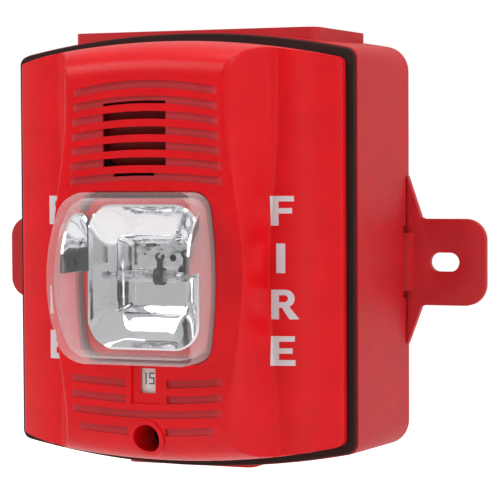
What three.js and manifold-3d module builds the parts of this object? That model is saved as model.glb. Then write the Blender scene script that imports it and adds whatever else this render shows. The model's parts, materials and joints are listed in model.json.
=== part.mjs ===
// Outdoor wall horn strobe on a weatherproof back box: box with two mounting ears, sealing
// gasket, and a swing-out notification device with a strobe, a piezo horn and its electronics.
// Millimetres, +Z up. The origin is the middle of the box's back face, which lies on the wall
// at y = 0. The front faces -Y.

import * as THREE from "three";
import { mergeVertices } from "three/addons/utils/BufferGeometryUtils.js";
import Module from "manifold-3d";

const wasm = await Module();
wasm.setup();

// ---------------------------------------------------------------- driving sizes
const GAP = 0.3; // space kept between two pieces that touch

// Back box
const BOX_DEPTH = 50.8;
const BOX_HALF_W = 62.7; // at the front rim
const BOX_HALF_H = 74.4; // at the front rim, on the centre line
const BOX_DRAFT = 1.7; // how much wider the box is at the wall, each side
const BOX_SAG = 6.9; // how far the arched top falls from its middle to its ends
const BOX_CORNER_FRONT = 4;
const BOX_CORNER_BACK = 9;
const BOX_WALL = 3;
const BOX_FLOOR = 3;

// Flat conduit pads on the top and the bottom of the box
// depth is how far each comes out from the wall, proud how far it stands over the front rim.
const TOP_PAD = { halfW: 45.6, halfWBack: 47.6, depth: 43.7, proud: 1.4, corner: 4 };
const BOTTOM_PAD = { halfW: 23.6, halfWBack: 25.5, depth: 48, proud: 0.35, corner: 3 };
const PAD_ROOT = 12; // how far a pad's block runs into the box wall
const CONDUIT_R = 10.6;
const CONDUIT_Y = -24;
const PLUG_DEPTH = 4.4;
const PLUG_HEX_R = 5;
const PLUG_HEX_DEPTH = 2.6;
const KNOCKOUT_R = 11;
const KNOCKOUT_GROOVE = 1.2;
const KNOCKOUT_DEPTH = 1.6;
const KNOCKOUT_Z = 34;

// Mounting ears
const EAR_REACH = 28.9; // from the box's side to the ear's outer end
const EAR_TOP = 9.8;
const EAR_BOTTOM = -20.7;
const EAR_CORNER = 7.5;
const EAR_T = 3;
const EAR_GUSSET_OUT = 4.6; // width of the gusset beside the box
const EAR_GUSSET_TOP = 25.1;
const EAR_GUSSET_BOTTOM = -34.7;
const EAR_SLOT = { length: 10.8, height: 6.7, fromEnd: 14.9 };
const TONGUE_T = 2.4;
const TONGUE_REACH = 3.6; // how far the tongue goes past the box wall
const TONGUE_LIP = 1.6;
const TONGUE_INSET = 5; // tongue edges inside the ear's top and bottom edges
const TONGUE_SIDE_PLAY = 2.6; // open slot left above and below the tongue

// Gasket and front cover
const GASKET_T = 2;
const GASKET_SET_IN = { side: 0.4, end: 0.4 }; // its outline inside the box's front rim
const GASKET_BAND = 4.6;
const COVER_SET_IN = { side: 3.1, end: 3.3 };
const COVER_SAG = 6.7;
const COVER_CORNER = 2.5;
const COVER_WALL = 2.2;
const EDGE_RISE = 4.4; // outer edge of the cover in front of its rim
const EDGE_ROUND = 1.5;
const PANEL_RISE = 30.6; // middle panel in front of the rim
const FLANK_RISE = 13.2; // foot of the panel's side wall in front of the rim
const FLANK_CURVE = 1.7; // how late the flank falls away towards its edge
const RIDGE_HALF_W = 29.2; // half width of the panel at its narrow ends
const RIDGE_FROM_LENS = 9.7; // from the lens's side to the panel's, where both are widest
const RIDGE_BULGE_Z = -7;
const RIDGE_BULGE_REACH = 58;
const WALL_RUN = { end: 9.4, middle: 1.9 }; // how far out the side walls run, ridge to foot
const ROLL_RISE = 3.6; // where the rolled top and bottom meet the rim wall
const ROLL_TOP = 12;
const ROLL_BOTTOM = 14.5;
const ROLL_POWER = 2.5;
const RIDGE_BLEND = 2.2;
const FOOT_BLEND = 4.5;

// Louvres
const LOUVRE = { height: 2.6, depth: 1.2, pitch: 5.08, steps: 6 };
const UPPER_ROWS = 7;
const UPPER_TOP_Z = 55.9;
const UPPER_HALF_W = 26.1;
const UPPER_GROW = 0.3; // each row is this much longer than the one above
const UPPER_RISE = 2.9; // arch of the top row
const UPPER_RISE_STEP = 0.19;
const LOWER_RISE = 1.4;
const LOWER_ROWS = [
  { z: -40.25, from: 8.5, to: 26 },
  { z: -45.5, from: 8.5, to: 26 },
  { z: -53, from: -26.9, to: 26.9 },
  { z: -57.95, from: 9.2, to: 23.3 },
];
const PORT = { left: -15.6, right: 7.2, first: 2, last: 5 }; // rows that open into the horn

// Strobe lens
const LENS = { halfW: 25.2, halfWEnd: 22.8, top: 20.3, bottom: -36, corner: 5.5, wall: 1.8 };
const LENS_OUT = 21.8; // front of the lens before the panel
const LENS_DOME_DROP = 11; // how far the front falls back towards its top and bottom
const LENS_FLANGE = { side: 2, end: 0.9, t: 1.7 };
const SEAL_T = 0.7;

// Candela window and selector
const RECESS = { halfW: 5.35, top: -36.9, bottom: -49.8, depth: 0.9 };
const WINDOW = { halfW: 2.55, top: -38, bottom: -46.3 };
const SLIDER = { left: -19.5, right: 6, top: -37.8, bottom: -47.6, t: 1.2, travel: 16 };
const SLIDER_ARM = { halfW: 2, halfH: 1.2 };
const SLOT_PLAY = 0.6; // around the arm in the slots it slides along
const TRACK = { t: 1.6, legR: 1.5, past: 1 };

// Device fixing screw
const SCREW_FROM_EDGE = 9.8; // above the cover's lower edge
const WELL_R = 4.7;
const WELL_WALL = 1.5;
const WELL_LIP = 0.6;
const WELL_DEPTH = 17;
const SCREW_R = 1.9;
const SCREW_HEAD_R = 3.7;
const SCREW_HEAD_T = 3.6;
const SCREW_PLAY = 0.9; // room that the tip needs as the device swings out

// Rear housing of the device
const HOUSING_PLAY = { side: 4.7, end: 4.4 }; // around it inside the box, so that it clears as it swings
const HOUSING_CORNER = 6;
const HOUSING_WALL = 2;
const HOUSING_IN_BOX = 16.8; // how far it reaches into the box behind the front rim
const HOUSING_IN_COVER = 1.6;
const HOUSING_POST = { fromSide: 9, fromEnd: 17, r: 3.6, hole: 1.4 };
const HOUSING_SCREW = { r: 1.2, headR: 2.4, headT: 1.8, length: 8 };

// Circuit board and what stands on it
const BOARD = { fromSide: 15, fromEnd: 15, t: 1.6, post: 4, postR: 2.8 };
const BOARD_SCREW = { fromSide: 5, fromEnd: 6, r: 1.1, headR: 2.3, headT: 1.5 };
const HORN = { x: -4.2, aboveLens: 2.8, r: 17, wall: 2 };
const HORN_FRONT_GAP = 2.4;
const SHELF = { fromFront: 16, t: 1.5, width: 2.5 };
const PIEZO_T = 0.6;
const RETAINER_T = 2.4;
const CAPACITOR = { x: -25, z: -31, r: 7.5, length: 25 };
const COIL = { x: 24, z: -33, halfW: 8, halfH: 7, coreT: 3, windingR: 5.6, length: 14 };
const TRIGGER_COIL = { x: 30, z: 8, r: 4, length: 12 };
const REFLECTOR = { halfW: 19.4, top: 15.5, bottom: -31, corner: 7, wall: 1, frontIn: 2.2 };
const REFLECTOR_DEPTH = 15;
const TROUGH = { halfW: 12.6, halfH: 7.5 };
const REFLECTOR_LEG_R = 2;
const TUBE = { z: -7.5, r: 1.9, halfL: 10.6, behindPanel: 2 };
const TUBE_CAP = 2.2;
const LEAD_R = 0.5;
const BAND = { x: 4.6, t: 0.5, halfL: 2, leadUp: 5.6, leadR: 0.7 };

// Tone selector
const TONE = { x: -26, z: 8, r: 3.6, bodyR: 6, bodyT: 2.2, slot: 1.2 };

// Mounting plate inside the box and its terminals
const PLATE = { fromSide: 9.7, fromTop: 7.4, fromBottom: 16.4, t: 2, y: -14, corner: 6 };
const PLATE_TONGUE = { halfW: 9, below: 6 };
const PLATE_POST = { fromSide: 7, fromEnd: 20, r: 4.5, hole: 1.5 };
const PLATE_SCREW = { r: 1.3, headR: 3.2, headT: 2.2, length: 9 };
const PLATE_WINDOW = { halfW: 24, top: 34, bottom: -24, corner: 6 };
const PLATE_BOSS = { r: 5, length: 6 };
// Hooks at the top: a tab on the housing's back stands under an arm of the plate, and lips on
// both keep the device from sliding off while it hangs.
const HOOK = { x: 30, halfW: 5, fromTop: 4, t: 2, lip: 1.2, lipT: 1.6, reach: 5, play: 1.2 };
const TERMINALS = { count: 4, pitch: 10, z: -38, halfH: 7.5, t: 9 };
const CLAMP = { halfW: 3.2, halfH: 3.6, t: 1.4 };
const CLAMP_SCREW = { r: 1.3, headR: 2.6, headT: 1.6 };
const PIN_R = 1.1;

// ---------------------------------------------------------------- places worked out from them
const SLIDER_MID_Z = (SLIDER.top + SLIDER.bottom) / 2;
const PAD_Z = { top: BOX_HALF_H + TOP_PAD.proud, bottom: BOX_HALF_H + BOTTOM_PAD.proud };
const EAR_END = BOX_HALF_W + BOX_DRAFT + EAR_REACH;
const GASKET_HALF_W = BOX_HALF_W - GASKET_SET_IN.side;
const GASKET_HALF_H = BOX_HALF_H - GASKET_SET_IN.end;
const COVER_HALF_W = BOX_HALF_W - COVER_SET_IN.side;
const COVER_HALF_H = BOX_HALF_H - COVER_SET_IN.end;
const INNER_HALF_W = BOX_HALF_W - BOX_WALL; // inside the box at its front rim
const INNER_HALF_H = BOX_HALF_H - BOX_WALL;
const HOUSING_HALF_W = INNER_HALF_W - HOUSING_PLAY.side;
const HOUSING_HALF_H = INNER_HALF_H - HOUSING_PLAY.end;
const HOUSING_POST_X = HOUSING_HALF_W - HOUSING_POST.fromSide;
const HOUSING_POST_Z = HOUSING_HALF_H - HOUSING_POST.fromEnd;
const BOARD_HALF_W = HOUSING_HALF_W - BOARD.fromSide;
const BOARD_HALF_H = HOUSING_HALF_H - BOARD.fromEnd;
const BOARD_SCREW_X = BOARD_HALF_W - BOARD_SCREW.fromSide;
const BOARD_SCREW_Z = BOARD_HALF_H - BOARD_SCREW.fromEnd;
const PLATE_HALF_W = INNER_HALF_W - PLATE.fromSide;
const PLATE_TOP = INNER_HALF_H - PLATE.fromTop;
const PLATE_BOTTOM = PLATE.fromBottom - INNER_HALF_H;
const PLATE_POST_X = PLATE_HALF_W - PLATE_POST.fromSide;
const PLATE_POST_Z = PLATE_TOP - PLATE_POST.fromEnd;
const HOOK_Z = PLATE_TOP - HOOK.fromTop;
const SCREW_Z = SCREW_FROM_EDGE - COVER_HALF_H;
const HOUSING_BACK_Y = HOUSING_IN_BOX - BOX_DEPTH;
const GASKET_BACK_Y = -(BOX_DEPTH + GAP);
const GASKET_FRONT_Y = GASKET_BACK_Y - GASKET_T;
const COVER_Y = GASKET_FRONT_Y - GAP; // back face of the cover's rim
const HOUSING_FRONT_Y = COVER_Y - HOUSING_IN_COVER;
const PANEL_Y = COVER_Y - PANEL_RISE;
const PANEL_INNER_Y = PANEL_Y + COVER_WALL;
const BOARD_BACK_Y = HOUSING_BACK_Y - HOUSING_WALL - BOARD.post - GAP;
const BOARD_Y = BOARD_BACK_Y - BOARD.t; // front face of the board
const ON_BOARD_Y = BOARD_Y - GAP;
const SLIDER_Y = PANEL_INNER_Y + GAP + 0.1;
const PLATE_FRONT_Y = PLATE.y - PLATE.t;
const TERMINAL_FRONT_Y = PLATE_FRONT_Y - GAP - TERMINALS.t;
const HOOK_Y = HOUSING_BACK_Y + HOOK.reach; // front face of the plate's hooks
const SCREW_HEAD_Y = PANEL_Y + WELL_DEPTH + WELL_LIP + 2; // front face of the screw's head
const HORN_Z = LENS.top + LENS_FLANGE.end + HORN.aboveLens + HORN.r;
const TUBE_Y = PANEL_Y + TUBE.behindPanel;
const LENS_MID_Z = (LENS.top + LENS.bottom) / 2;

// ---------------------------------------------------------------- materials
const paint = (color, roughness, metalness = 0) =>
  new THREE.MeshStandardMaterial({ color, roughness, metalness });
const redBox = paint(0xc23a3c, 0.55);
const redCover = paint(0xd8262b, 0.42);
const blackRubber = paint(0x20130f, 0.8);
const blackPlastic = paint(0x26262a, 0.6);
const greyPlastic = paint(0x8d9094, 0.6);
const whitePlastic = paint(0xf2f2ee, 0.5);
const steel = paint(0xb8babd, 0.35, 1);
const brass = paint(0xc7a45a, 0.35, 1);
const chrome = paint(0xf4f4f4, 0.08, 1);
const boardGreen = paint(0x1f6b43, 0.5);
const copper = paint(0xb4652f, 0.45, 0.8);
const clear = new THREE.MeshStandardMaterial({
  color: 0xffffff,
  roughness: 0.05,
  transparent: true,
  opacity: 0.3,
});

// ---------------------------------------------------------------- shape helpers
// A closed geometry as a manifold solid, turned outward if it was wound inward.
function solid(geometry) {
  const bare = geometry.clone();
  bare.deleteAttribute("normal");
  bare.deleteAttribute("uv");
  const merged = mergeVertices(bare, 1e-4);
  const triVerts = new Uint32Array(merged.index.array);
  const vertProperties = new Float32Array(merged.attributes.position.array);
  if (signedVolume(vertProperties, triVerts) < 0) {
    for (let i = 0; i < triVerts.length; i += 3) {
      [triVerts[i + 1], triVerts[i + 2]] = [triVerts[i + 2], triVerts[i + 1]];
    }
  }
  return new wasm.Manifold(new wasm.Mesh({ numProp: 3, vertProperties, triVerts }));
}

function signedVolume(position, index) {
  const corner = (i) => new THREE.Vector3().fromArray(position, 3 * index[i]);
  let sum = 0;
  for (let i = 0; i < index.length; i += 3) {
    sum += corner(i).dot(corner(i + 1).cross(corner(i + 2)));
  }
  return sum / 6;
}

function geometryOf(shape) {
  const mesh = shape.getMesh();
  const geometry = new THREE.BufferGeometry();
  geometry.setAttribute("position", new THREE.BufferAttribute(mesh.vertProperties, 3));
  geometry.setIndex(new THREE.BufferAttribute(mesh.triVerts, 1));
  geometry.computeVertexNormals();
  return geometry;
}

const join = (...shapes) => shapes.reduce((a, b) => a.add(b));
const cut = (shape, ...tools) => tools.reduce((a, b) => a.subtract(b), shape);

function node(name, shape, material) {
  const mesh = new THREE.Mesh(geometryOf(shape), material);
  mesh.name = name;
  return mesh;
}

// A block between two corners.
function block(x0, x1, y0, y1, z0, z1) {
  const geometry = new THREE.BoxGeometry(x1 - x0, y1 - y0, z1 - z0);
  geometry.translate((x0 + x1) / 2, (y0 + y1) / 2, (z0 + z1) / 2);
  return solid(geometry);
}

// A round bar along Y, from y0 to y1.
function barY(r, x, z, y0, y1, sides = 16) {
  const geometry = new THREE.CylinderGeometry(r, r, y1 - y0, sides);
  geometry.translate(x, (y0 + y1) / 2, z);
  return solid(geometry);
}

function barX(r, y, z, x0, x1, sides = 16) {
  const geometry = new THREE.CylinderGeometry(r, r, x1 - x0, sides);
  geometry.rotateZ(Math.PI / 2);
  geometry.translate((x0 + x1) / 2, y, z);
  return solid(geometry);
}

function barZ(r, x, y, z0, z1, sides = 24) {
  const geometry = new THREE.CylinderGeometry(r, r, z1 - z0, sides);
  geometry.rotateX(Math.PI / 2);
  geometry.translate(x, y, (z0 + z1) / 2);
  return solid(geometry);
}

// An outline in X and Z pushed along Y, from y0 to y1.
function plateY(points, y0, y1) {
  const depth = y1 - y0;
  const geometry = new THREE.ExtrudeGeometry(new THREE.Shape(points), {
    depth,
    bevelEnabled: false,
  });
  geometry.rotateX(Math.PI / 2);
  geometry.translate(0, y1, 0);
  return solid(geometry);
}

// An outline in Y and Z pushed along X, from x0 to x1.
function plateX(points, x0, x1) {
  const geometry = new THREE.ExtrudeGeometry(new THREE.Shape(points), {
    depth: x1 - x0,
    bevelEnabled: false,
  });
  const turn = new THREE.Matrix4().makeBasis(
    new THREE.Vector3(0, 1, 0),
    new THREE.Vector3(0, 0, 1),
    new THREE.Vector3(1, 0, 0),
  );
  geometry.applyMatrix4(turn);
  geometry.translate(x0, 0, 0);
  return solid(geometry);
}

// A closed skin through rings of equally many points, with a fan over each end.
function loft(rings) {
  const count = rings[0].length;
  const position = [];
  const index = [];
  for (const ring of rings) for (const p of ring) position.push(p.x, p.y, p.z);
  for (let r = 0; r + 1 < rings.length; r++) {
    for (let i = 0; i < count; i++) {
      const a = r * count + i;
      const b = r * count + ((i + 1) % count);
      index.push(a, b, a + count, b, b + count, a + count);
    }
  }
  for (const [ring, start, flip] of [
    [rings[0], 0, true],
    [rings.at(-1), (rings.length - 1) * count, false],
  ]) {
    const middle = ring.reduce((s, p) => s.add(p), new THREE.Vector3()).divideScalar(count);
    const hub = position.length / 3;
    position.push(middle.x, middle.y, middle.z);
    for (let i = 0; i < count; i++) {
      const a = start + i;
      const b = start + ((i + 1) % count);
      index.push(...(flip ? [b, a, hub] : [a, b, hub]));
    }
  }
  const geometry = new THREE.BufferGeometry();
  geometry.setAttribute("position", new THREE.Float32BufferAttribute(position, 3));
  geometry.setIndex(index);
  return solid(geometry);
}

// A box with an arched top and bottom: where its corner rounds end, and its half height at x.
function archOf(halfW, halfH, sag, corner) {
  const radius = (halfW * halfW + sag * sag) / (2 * sag);
  const cornerX = halfW - corner;
  const cornerZ = halfH - radius + Math.sqrt((radius - corner) ** 2 - cornerX ** 2);
  const meet = Math.acos(cornerX / (radius - corner));
  return { halfW, halfH, radius, corner, cornerX, cornerZ, meet };
}

function halfHeightAt(arch, x) {
  const u = Math.min(Math.abs(x), arch.halfW);
  if (u <= arch.radius * Math.cos(arch.meet)) {
    return arch.halfH - arch.radius + Math.sqrt(arch.radius ** 2 - u * u);
  }
  return arch.cornerZ + Math.sqrt(Math.max(0, arch.corner ** 2 - (u - arch.cornerX) ** 2));
}

function archOutline(halfW, halfH, sag, corner, archSteps = 10, cornerSteps = 3) {
  const arch = archOf(halfW, halfH, sag, corner);
  const top = [];
  const turn = (cx, cz, r, from, to, steps, skipFirst) => {
    for (let i = skipFirst ? 1 : 0; i <= steps; i++) {
      const a = from + ((to - from) * i) / steps;
      top.push(new THREE.Vector2(cx + r * Math.cos(a), cz + r * Math.sin(a)));
    }
  };
  turn(arch.cornerX, arch.cornerZ, corner, 0, arch.meet, cornerSteps, false);
  turn(0, halfH - arch.radius, arch.radius, arch.meet, Math.PI - arch.meet, archSteps, true);
  turn(-arch.cornerX, arch.cornerZ, corner, Math.PI - arch.meet, Math.PI, cornerSteps, true);
  return top.concat(top.map((p) => p.clone().negate()));
}

const ringAt = (points, y) => points.map((p) => new THREE.Vector3(p.x, y, p.y));

function roundRect(halfW, z0, z1, corner, middleX = 0, steps = 4) {
  const points = [];
  for (const [cx, cz, start] of [
    [middleX + halfW - corner, z1 - corner, 0],
    [middleX - halfW + corner, z1 - corner, 1],
    [middleX - halfW + corner, z0 + corner, 2],
    [middleX + halfW - corner, z0 + corner, 3],
  ]) {
    for (let i = 0; i <= steps; i++) {
      const a = ((start + i / steps) * Math.PI) / 2;
      points.push(new THREE.Vector2(cx + corner * Math.cos(a), cz + corner * Math.sin(a)));
    }
  }
  return points;
}

// ---------------------------------------------------------------- back box
// Outer half width and half height grow evenly from the front rim to the wall.
function boxRing(y, inset) {
  const back = 1 + y / BOX_DEPTH;
  const corner = BOX_CORNER_FRONT + (BOX_CORNER_BACK - BOX_CORNER_FRONT) * back;
  const halfW = BOX_HALF_W + BOX_DRAFT * back - inset;
  const halfH = BOX_HALF_H + BOX_DRAFT * back - inset;
  return ringAt(archOutline(halfW, halfH, BOX_SAG, Math.max(corner - inset, 1.5)), y);
}

const boxHalfWidthAt = (y) => BOX_HALF_W + BOX_DRAFT * (1 + y / BOX_DEPTH);

function pad(size, up) {
  const front = roundRect(size.halfW, -size.depth, size.corner, size.corner);
  const outline = front.map((p) => {
    const back = Math.max(0, 1 + p.y / size.depth);
    const x = p.x * (1 + (back * (size.halfWBack - size.halfW)) / size.halfW);
    return new THREE.Vector3(x, Math.min(p.y, 0), 0);
  });
  const z = BOX_HALF_H + size.proud;
  const at = (height) => outline.map((p) => new THREE.Vector3(p.x, p.y, up * height));
  return loft([at(z - PAD_ROOT), at(z)]);
}

function backBox() {
  const reach = EAR_END;
  const slab = block(-reach, reach, -BOX_DEPTH, 0, -PAD_Z.bottom, PAD_Z.top);
  const outside = join(
    loft([boxRing(-BOX_DEPTH, 0), boxRing(0, 0)]).intersect(slab),
    pad(TOP_PAD, 1),
    pad(BOTTOM_PAD, -1),
  );
  const inside = loft([
    boxRing(-BOX_DEPTH - 1, BOX_WALL),
    boxRing(-BOX_FLOOR, BOX_WALL),
  ]);
  let box = cut(outside, inside);
  for (const side of [-1, 1]) {
    for (const up of [-1, 1]) {
      const [x, z] = [side * PLATE_POST_X, up * PLATE_POST_Z];
      box = box.add(barY(PLATE_POST.r, x, z, PLATE.y + GAP, -BOX_FLOOR + 0.5));
      box = box.subtract(barY(PLATE_POST.hole, x, z, PLATE.y, -BOX_FLOOR - 1, 16));
    }
    box = box.subtract(earSlot(side));
  }
  for (const up of [-1, 1]) {
    const z0 = BOX_HALF_H - BOX_WALL - 8;
    const z1 = PAD_Z.top + 2;
    const [low, high] = up > 0 ? [z0, z1] : [-z1, -z0];
    box = box.subtract(barZ(CONDUIT_R, 0, CONDUIT_Y, low, high));
    const groove = cut(
      barY(KNOCKOUT_R + KNOCKOUT_GROOVE, 0, up * KNOCKOUT_Z, -KNOCKOUT_DEPTH, 1, 24),
      barY(KNOCKOUT_R, 0, up * KNOCKOUT_Z, -KNOCKOUT_DEPTH - 1, 2, 24),
    );
    box = box.subtract(groove);
  }
  return box;
}

// The slot in a side wall that an ear's tongue goes through.
function earSlot(side) {
  const [x0, x1] = [boxHalfWidthAt(0) - BOX_WALL - 3, EAR_END];
  return block(
    Math.min(side * x0, side * x1),
    Math.max(side * x0, side * x1),
    -(BOX_FLOOR + TONGUE_T + 2 * GAP),
    -BOX_FLOOR,
    EAR_BOTTOM + TONGUE_INSET - TONGUE_SIDE_PLAY,
    EAR_TOP - TONGUE_INSET + TONGUE_SIDE_PLAY,
  );
}

// One ear: a flat plate with a slot, a gusset beside the box and a hooked tongue.
function ear(side) {
  const inner = boxHalfWidthAt(0) + GAP;
  const gusset = inner + EAR_GUSSET_OUT;
  const outline = roundRect(
    (EAR_END - inner) / 2,
    EAR_BOTTOM,
    EAR_TOP,
    EAR_CORNER,
    (EAR_END + inner) / 2,
  ).filter((p) => p.x > (inner + EAR_END) / 2);
  const right = [
    ...outline.filter((p) => p.y > 0),
    new THREE.Vector2(gusset, EAR_TOP),
    new THREE.Vector2(inner, EAR_GUSSET_TOP),
    new THREE.Vector2(inner, EAR_GUSSET_BOTTOM),
    new THREE.Vector2(gusset, EAR_BOTTOM),
    ...outline.filter((p) => p.y <= 0),
  ];
  const slotX = EAR_END - EAR_SLOT.fromEnd;
  const slotZ = (EAR_TOP + EAR_BOTTOM) / 2;
  const slot = roundRect(
    EAR_SLOT.length / 2,
    slotZ - EAR_SLOT.height / 2,
    slotZ + EAR_SLOT.height / 2,
    EAR_SLOT.height / 2 - 0.1,
    slotX,
  );
  const [z0, z1] = [EAR_BOTTOM + TONGUE_INSET, EAR_TOP - TONGUE_INSET];
  const front = -(BOX_FLOOR + GAP + TONGUE_T);
  const tip = boxHalfWidthAt(0) - BOX_WALL - TONGUE_REACH;
  const shape = join(
    cut(plateY(right, -EAR_T, 0), plateY(slot, -EAR_T - 1, 1)),
    block(inner, inner + 2, front, -EAR_T + 0.5, z0, z1),
    block(tip, inner + 0.5, front, -(BOX_FLOOR + GAP), z0, z1),
    block(tip, tip + 1.6, front - TONGUE_LIP, front + 0.5, z0, z1),
  );
  return side > 0 ? shape : shape.mirror([1, 0, 0]);
}

// A screwed plug with a hexagon socket, flush with the pad.
function conduitPlug(up) {
  const padZ = up > 0 ? PAD_Z.top : PAD_Z.bottom;
  const [z0, z1] = [up * (padZ - PLUG_DEPTH), up * (padZ - 0.2)];
  const hex = [up * (padZ - PLUG_HEX_DEPTH), up * (padZ + 1)];
  return cut(
    barZ(CONDUIT_R - GAP, 0, CONDUIT_Y, Math.min(z0, z1), Math.max(z0, z1), 24),
    barZ(PLUG_HEX_R, 0, CONDUIT_Y, Math.min(...hex), Math.max(...hex), 6),
  );
}

function gasket() {
  const outer = archOutline(GASKET_HALF_W, GASKET_HALF_H, BOX_SAG, BOX_CORNER_FRONT - 0.6);
  const inner = archOutline(
    GASKET_HALF_W - GASKET_BAND,
    GASKET_HALF_H - GASKET_BAND,
    BOX_SAG,
    BOX_CORNER_FRONT - 0.6,
  );
  return cut(
    plateY(outer, GASKET_FRONT_Y, GASKET_BACK_Y),
    plateY(inner, GASKET_FRONT_Y - 1, GASKET_BACK_Y + 1),
  );
}

// ---------------------------------------------------------------- mounting plate and terminals
function mountingPlate() {
  const screwZ = SCREW_Z;
  const tongueW = PLATE_TONGUE.halfW;
  const back = PLATE.y;
  const front = PLATE_FRONT_Y;
  let plate = join(
    plateY(roundRect(PLATE_HALF_W, PLATE_BOTTOM, PLATE_TOP, PLATE.corner), front, back),
    block(-tongueW, tongueW, front, back, screwZ - PLATE_TONGUE.below, PLATE_BOTTOM + 8),
    barY(PLATE_BOSS.r, 0, screwZ, front - PLATE_BOSS.length, front + 0.5),
  );
  const opening = roundRect(
    PLATE_WINDOW.halfW,
    PLATE_WINDOW.bottom,
    PLATE_WINDOW.top,
    PLATE_WINDOW.corner,
  );
  plate = cut(
    plate,
    plateY(opening, front - 1, back + 1),
    barY(SCREW_R + SCREW_PLAY, 0, screwZ, front - PLATE_BOSS.length - 1, back + 1),
  );
  for (const side of [-1, 1]) {
    for (const up of [-1, 1]) {
      const [x, z] = [side * PLATE_POST_X, up * PLATE_POST_Z];
      plate = plate.subtract(barY(PLATE_SCREW.r + GAP, x, z, front - 1, back + 1, 16));
    }
    const [x0, x1] = [side * HOOK.x - HOOK.halfW, side * HOOK.x + HOOK.halfW];
    const armZ = HOOK_Z + GAP;
    plate = join(
      plate,
      block(x0, x1, HOOK_Y, front + 0.5, armZ, armZ + HOOK.t),
      block(x0, x1, HOOK_Y, HOOK_Y + HOOK.lipT, HOOK_Z - HOOK.lip, armZ + 0.5),
    );
  }
  return plate;
}

function screwY(size, x, z, seatY) {
  const head = barY(size.headR, x, z, seatY - size.headT, seatY, 16);
  const shank = barY(size.r, x, z, seatY - 0.5, seatY + size.length, 12);
  const slot = block(
    x - size.headR - 1,
    x + size.headR + 1,
    seatY - size.headT - 1,
    seatY - size.headT / 2,
    z - 0.35,
    z + 0.35,
  );
  return cut(head.add(shank), slot);
}

const terminalX = (i) => (i - (TERMINALS.count - 1) / 2) * TERMINALS.pitch;

// A moulded block with one open well for each clamp.
function terminalBlock() {
  const halfW = (TERMINALS.count * TERMINALS.pitch) / 2;
  const back = PLATE_FRONT_Y - GAP;
  const [z0, z1] = [TERMINALS.z - TERMINALS.halfH, TERMINALS.z + TERMINALS.halfH];
  let shape = block(-halfW, halfW, TERMINAL_FRONT_Y, back, z0, z1);
  for (let i = 0; i < TERMINALS.count; i++) {
    const x = terminalX(i);
    const [halfW2, halfH] = [CLAMP.halfW + GAP, CLAMP.halfH + GAP];
    const well = block(x - halfW2, x + halfW2, TERMINAL_FRONT_Y - 1, back - 2, z0 - 1, TERMINALS.z + halfH);
    shape = shape.subtract(well);
  }
  return shape;
}

const CLAMP_BACK_Y = PLATE_FRONT_Y - 2 * GAP - 2;

function terminalClamp(i) {
  const x = terminalX(i);
  const z = TERMINALS.z;
  const plate = block(
    x - CLAMP.halfW,
    x + CLAMP.halfW,
    CLAMP_BACK_Y - CLAMP.t,
    CLAMP_BACK_Y,
    z - CLAMP.halfH,
    z + CLAMP.halfH,
  );
  return cut(plate, barY(CLAMP_SCREW.r + GAP, x, z - 1, CLAMP_BACK_Y - 5, CLAMP_BACK_Y + 1, 12));
}

function terminalScrew(i) {
  const seat = CLAMP_BACK_Y - CLAMP.t - GAP;
  const size = { ...CLAMP_SCREW, length: CLAMP.t + GAP };
  return screwY(size, terminalX(i), TERMINALS.z - 1, seat);
}

// ---------------------------------------------------------------- front cover
const bulge = (z) => {
  const u = Math.min(1, Math.abs(z - RIDGE_BULGE_Z) / RIDGE_BULGE_REACH);
  return Math.cos((u * Math.PI) / 2) ** 2;
};
const ridgeBulge = LENS.halfW + RIDGE_FROM_LENS - RIDGE_HALF_W;
const ridgeAt = (z) => RIDGE_HALF_W + ridgeBulge * bulge(z);
const footAt = (z) => ridgeAt(z) + WALL_RUN.end - (WALL_RUN.end - WALL_RUN.middle) * bulge(z);

const softMin = (a, b, k) => {
  const h = Math.max(k - Math.abs(a - b), 0) / k;
  return Math.min(a, b) - (h * h * k) / 4;
};
const softMax = (a, b, k) => -softMin(-a, -b, k);

// How far the cover's outside stands before its rim, at x and z, on a skin set in by inset.
function coverRise(x, z, edgeZ, inset) {
  const u = Math.abs(x);
  const ridge = ridgeAt(z) - inset;
  const foot = footAt(z) - inset;
  const edge = COVER_HALF_W - inset;
  const slope = (PANEL_RISE - FLANK_RISE) / (foot - ridge);
  const wall = PANEL_RISE - (u - ridge) * slope;
  const along = Math.min(1, Math.max(0, (u - foot) / (edge - foot)));
  const flank = FLANK_RISE - (FLANK_RISE - EDGE_RISE) * along ** FLANK_CURVE;
  const raised = softMin(PANEL_RISE, wall, RIDGE_BLEND);
  const front = softMax(raised, flank, FOOT_BLEND);
  const depth = z > 0 ? ROLL_TOP : ROLL_BOTTOM;
  const near = Math.min(1, Math.max(0, 1 - (edgeZ - Math.abs(z)) / depth));
  const roll = ROLL_RISE + (PANEL_RISE - ROLL_RISE) * (1 - near ** ROLL_POWER) ** (1 / ROLL_POWER);
  const past = Math.max(0, u - (edge - EDGE_ROUND));
  const drop = EDGE_ROUND - Math.sqrt(Math.max(0, EDGE_ROUND ** 2 - past ** 2));
  return Math.min(front, roll) - drop - inset;
}

// Places along X where the surface bends, from the middle out.
function coverColumns(z, inset) {
  const ridge = ridgeAt(z) - inset;
  const foot = footAt(z) - inset;
  const edge = COVER_HALF_W - inset;
  const wall = foot - ridge;
  const half = [
    ridge - 1.2,
    ridge + wall * 0.1,
    ridge + wall * 0.75,
    foot + 0.6,
    ...[0.2, 0.45, 0.7].map((s) => foot + (edge - foot) * s),
    edge - EDGE_ROUND,
    edge - EDGE_ROUND * 0.3,
    edge,
  ];
  return [...half.map((x) => -x).reverse(), 0, ...half];
}

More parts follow.
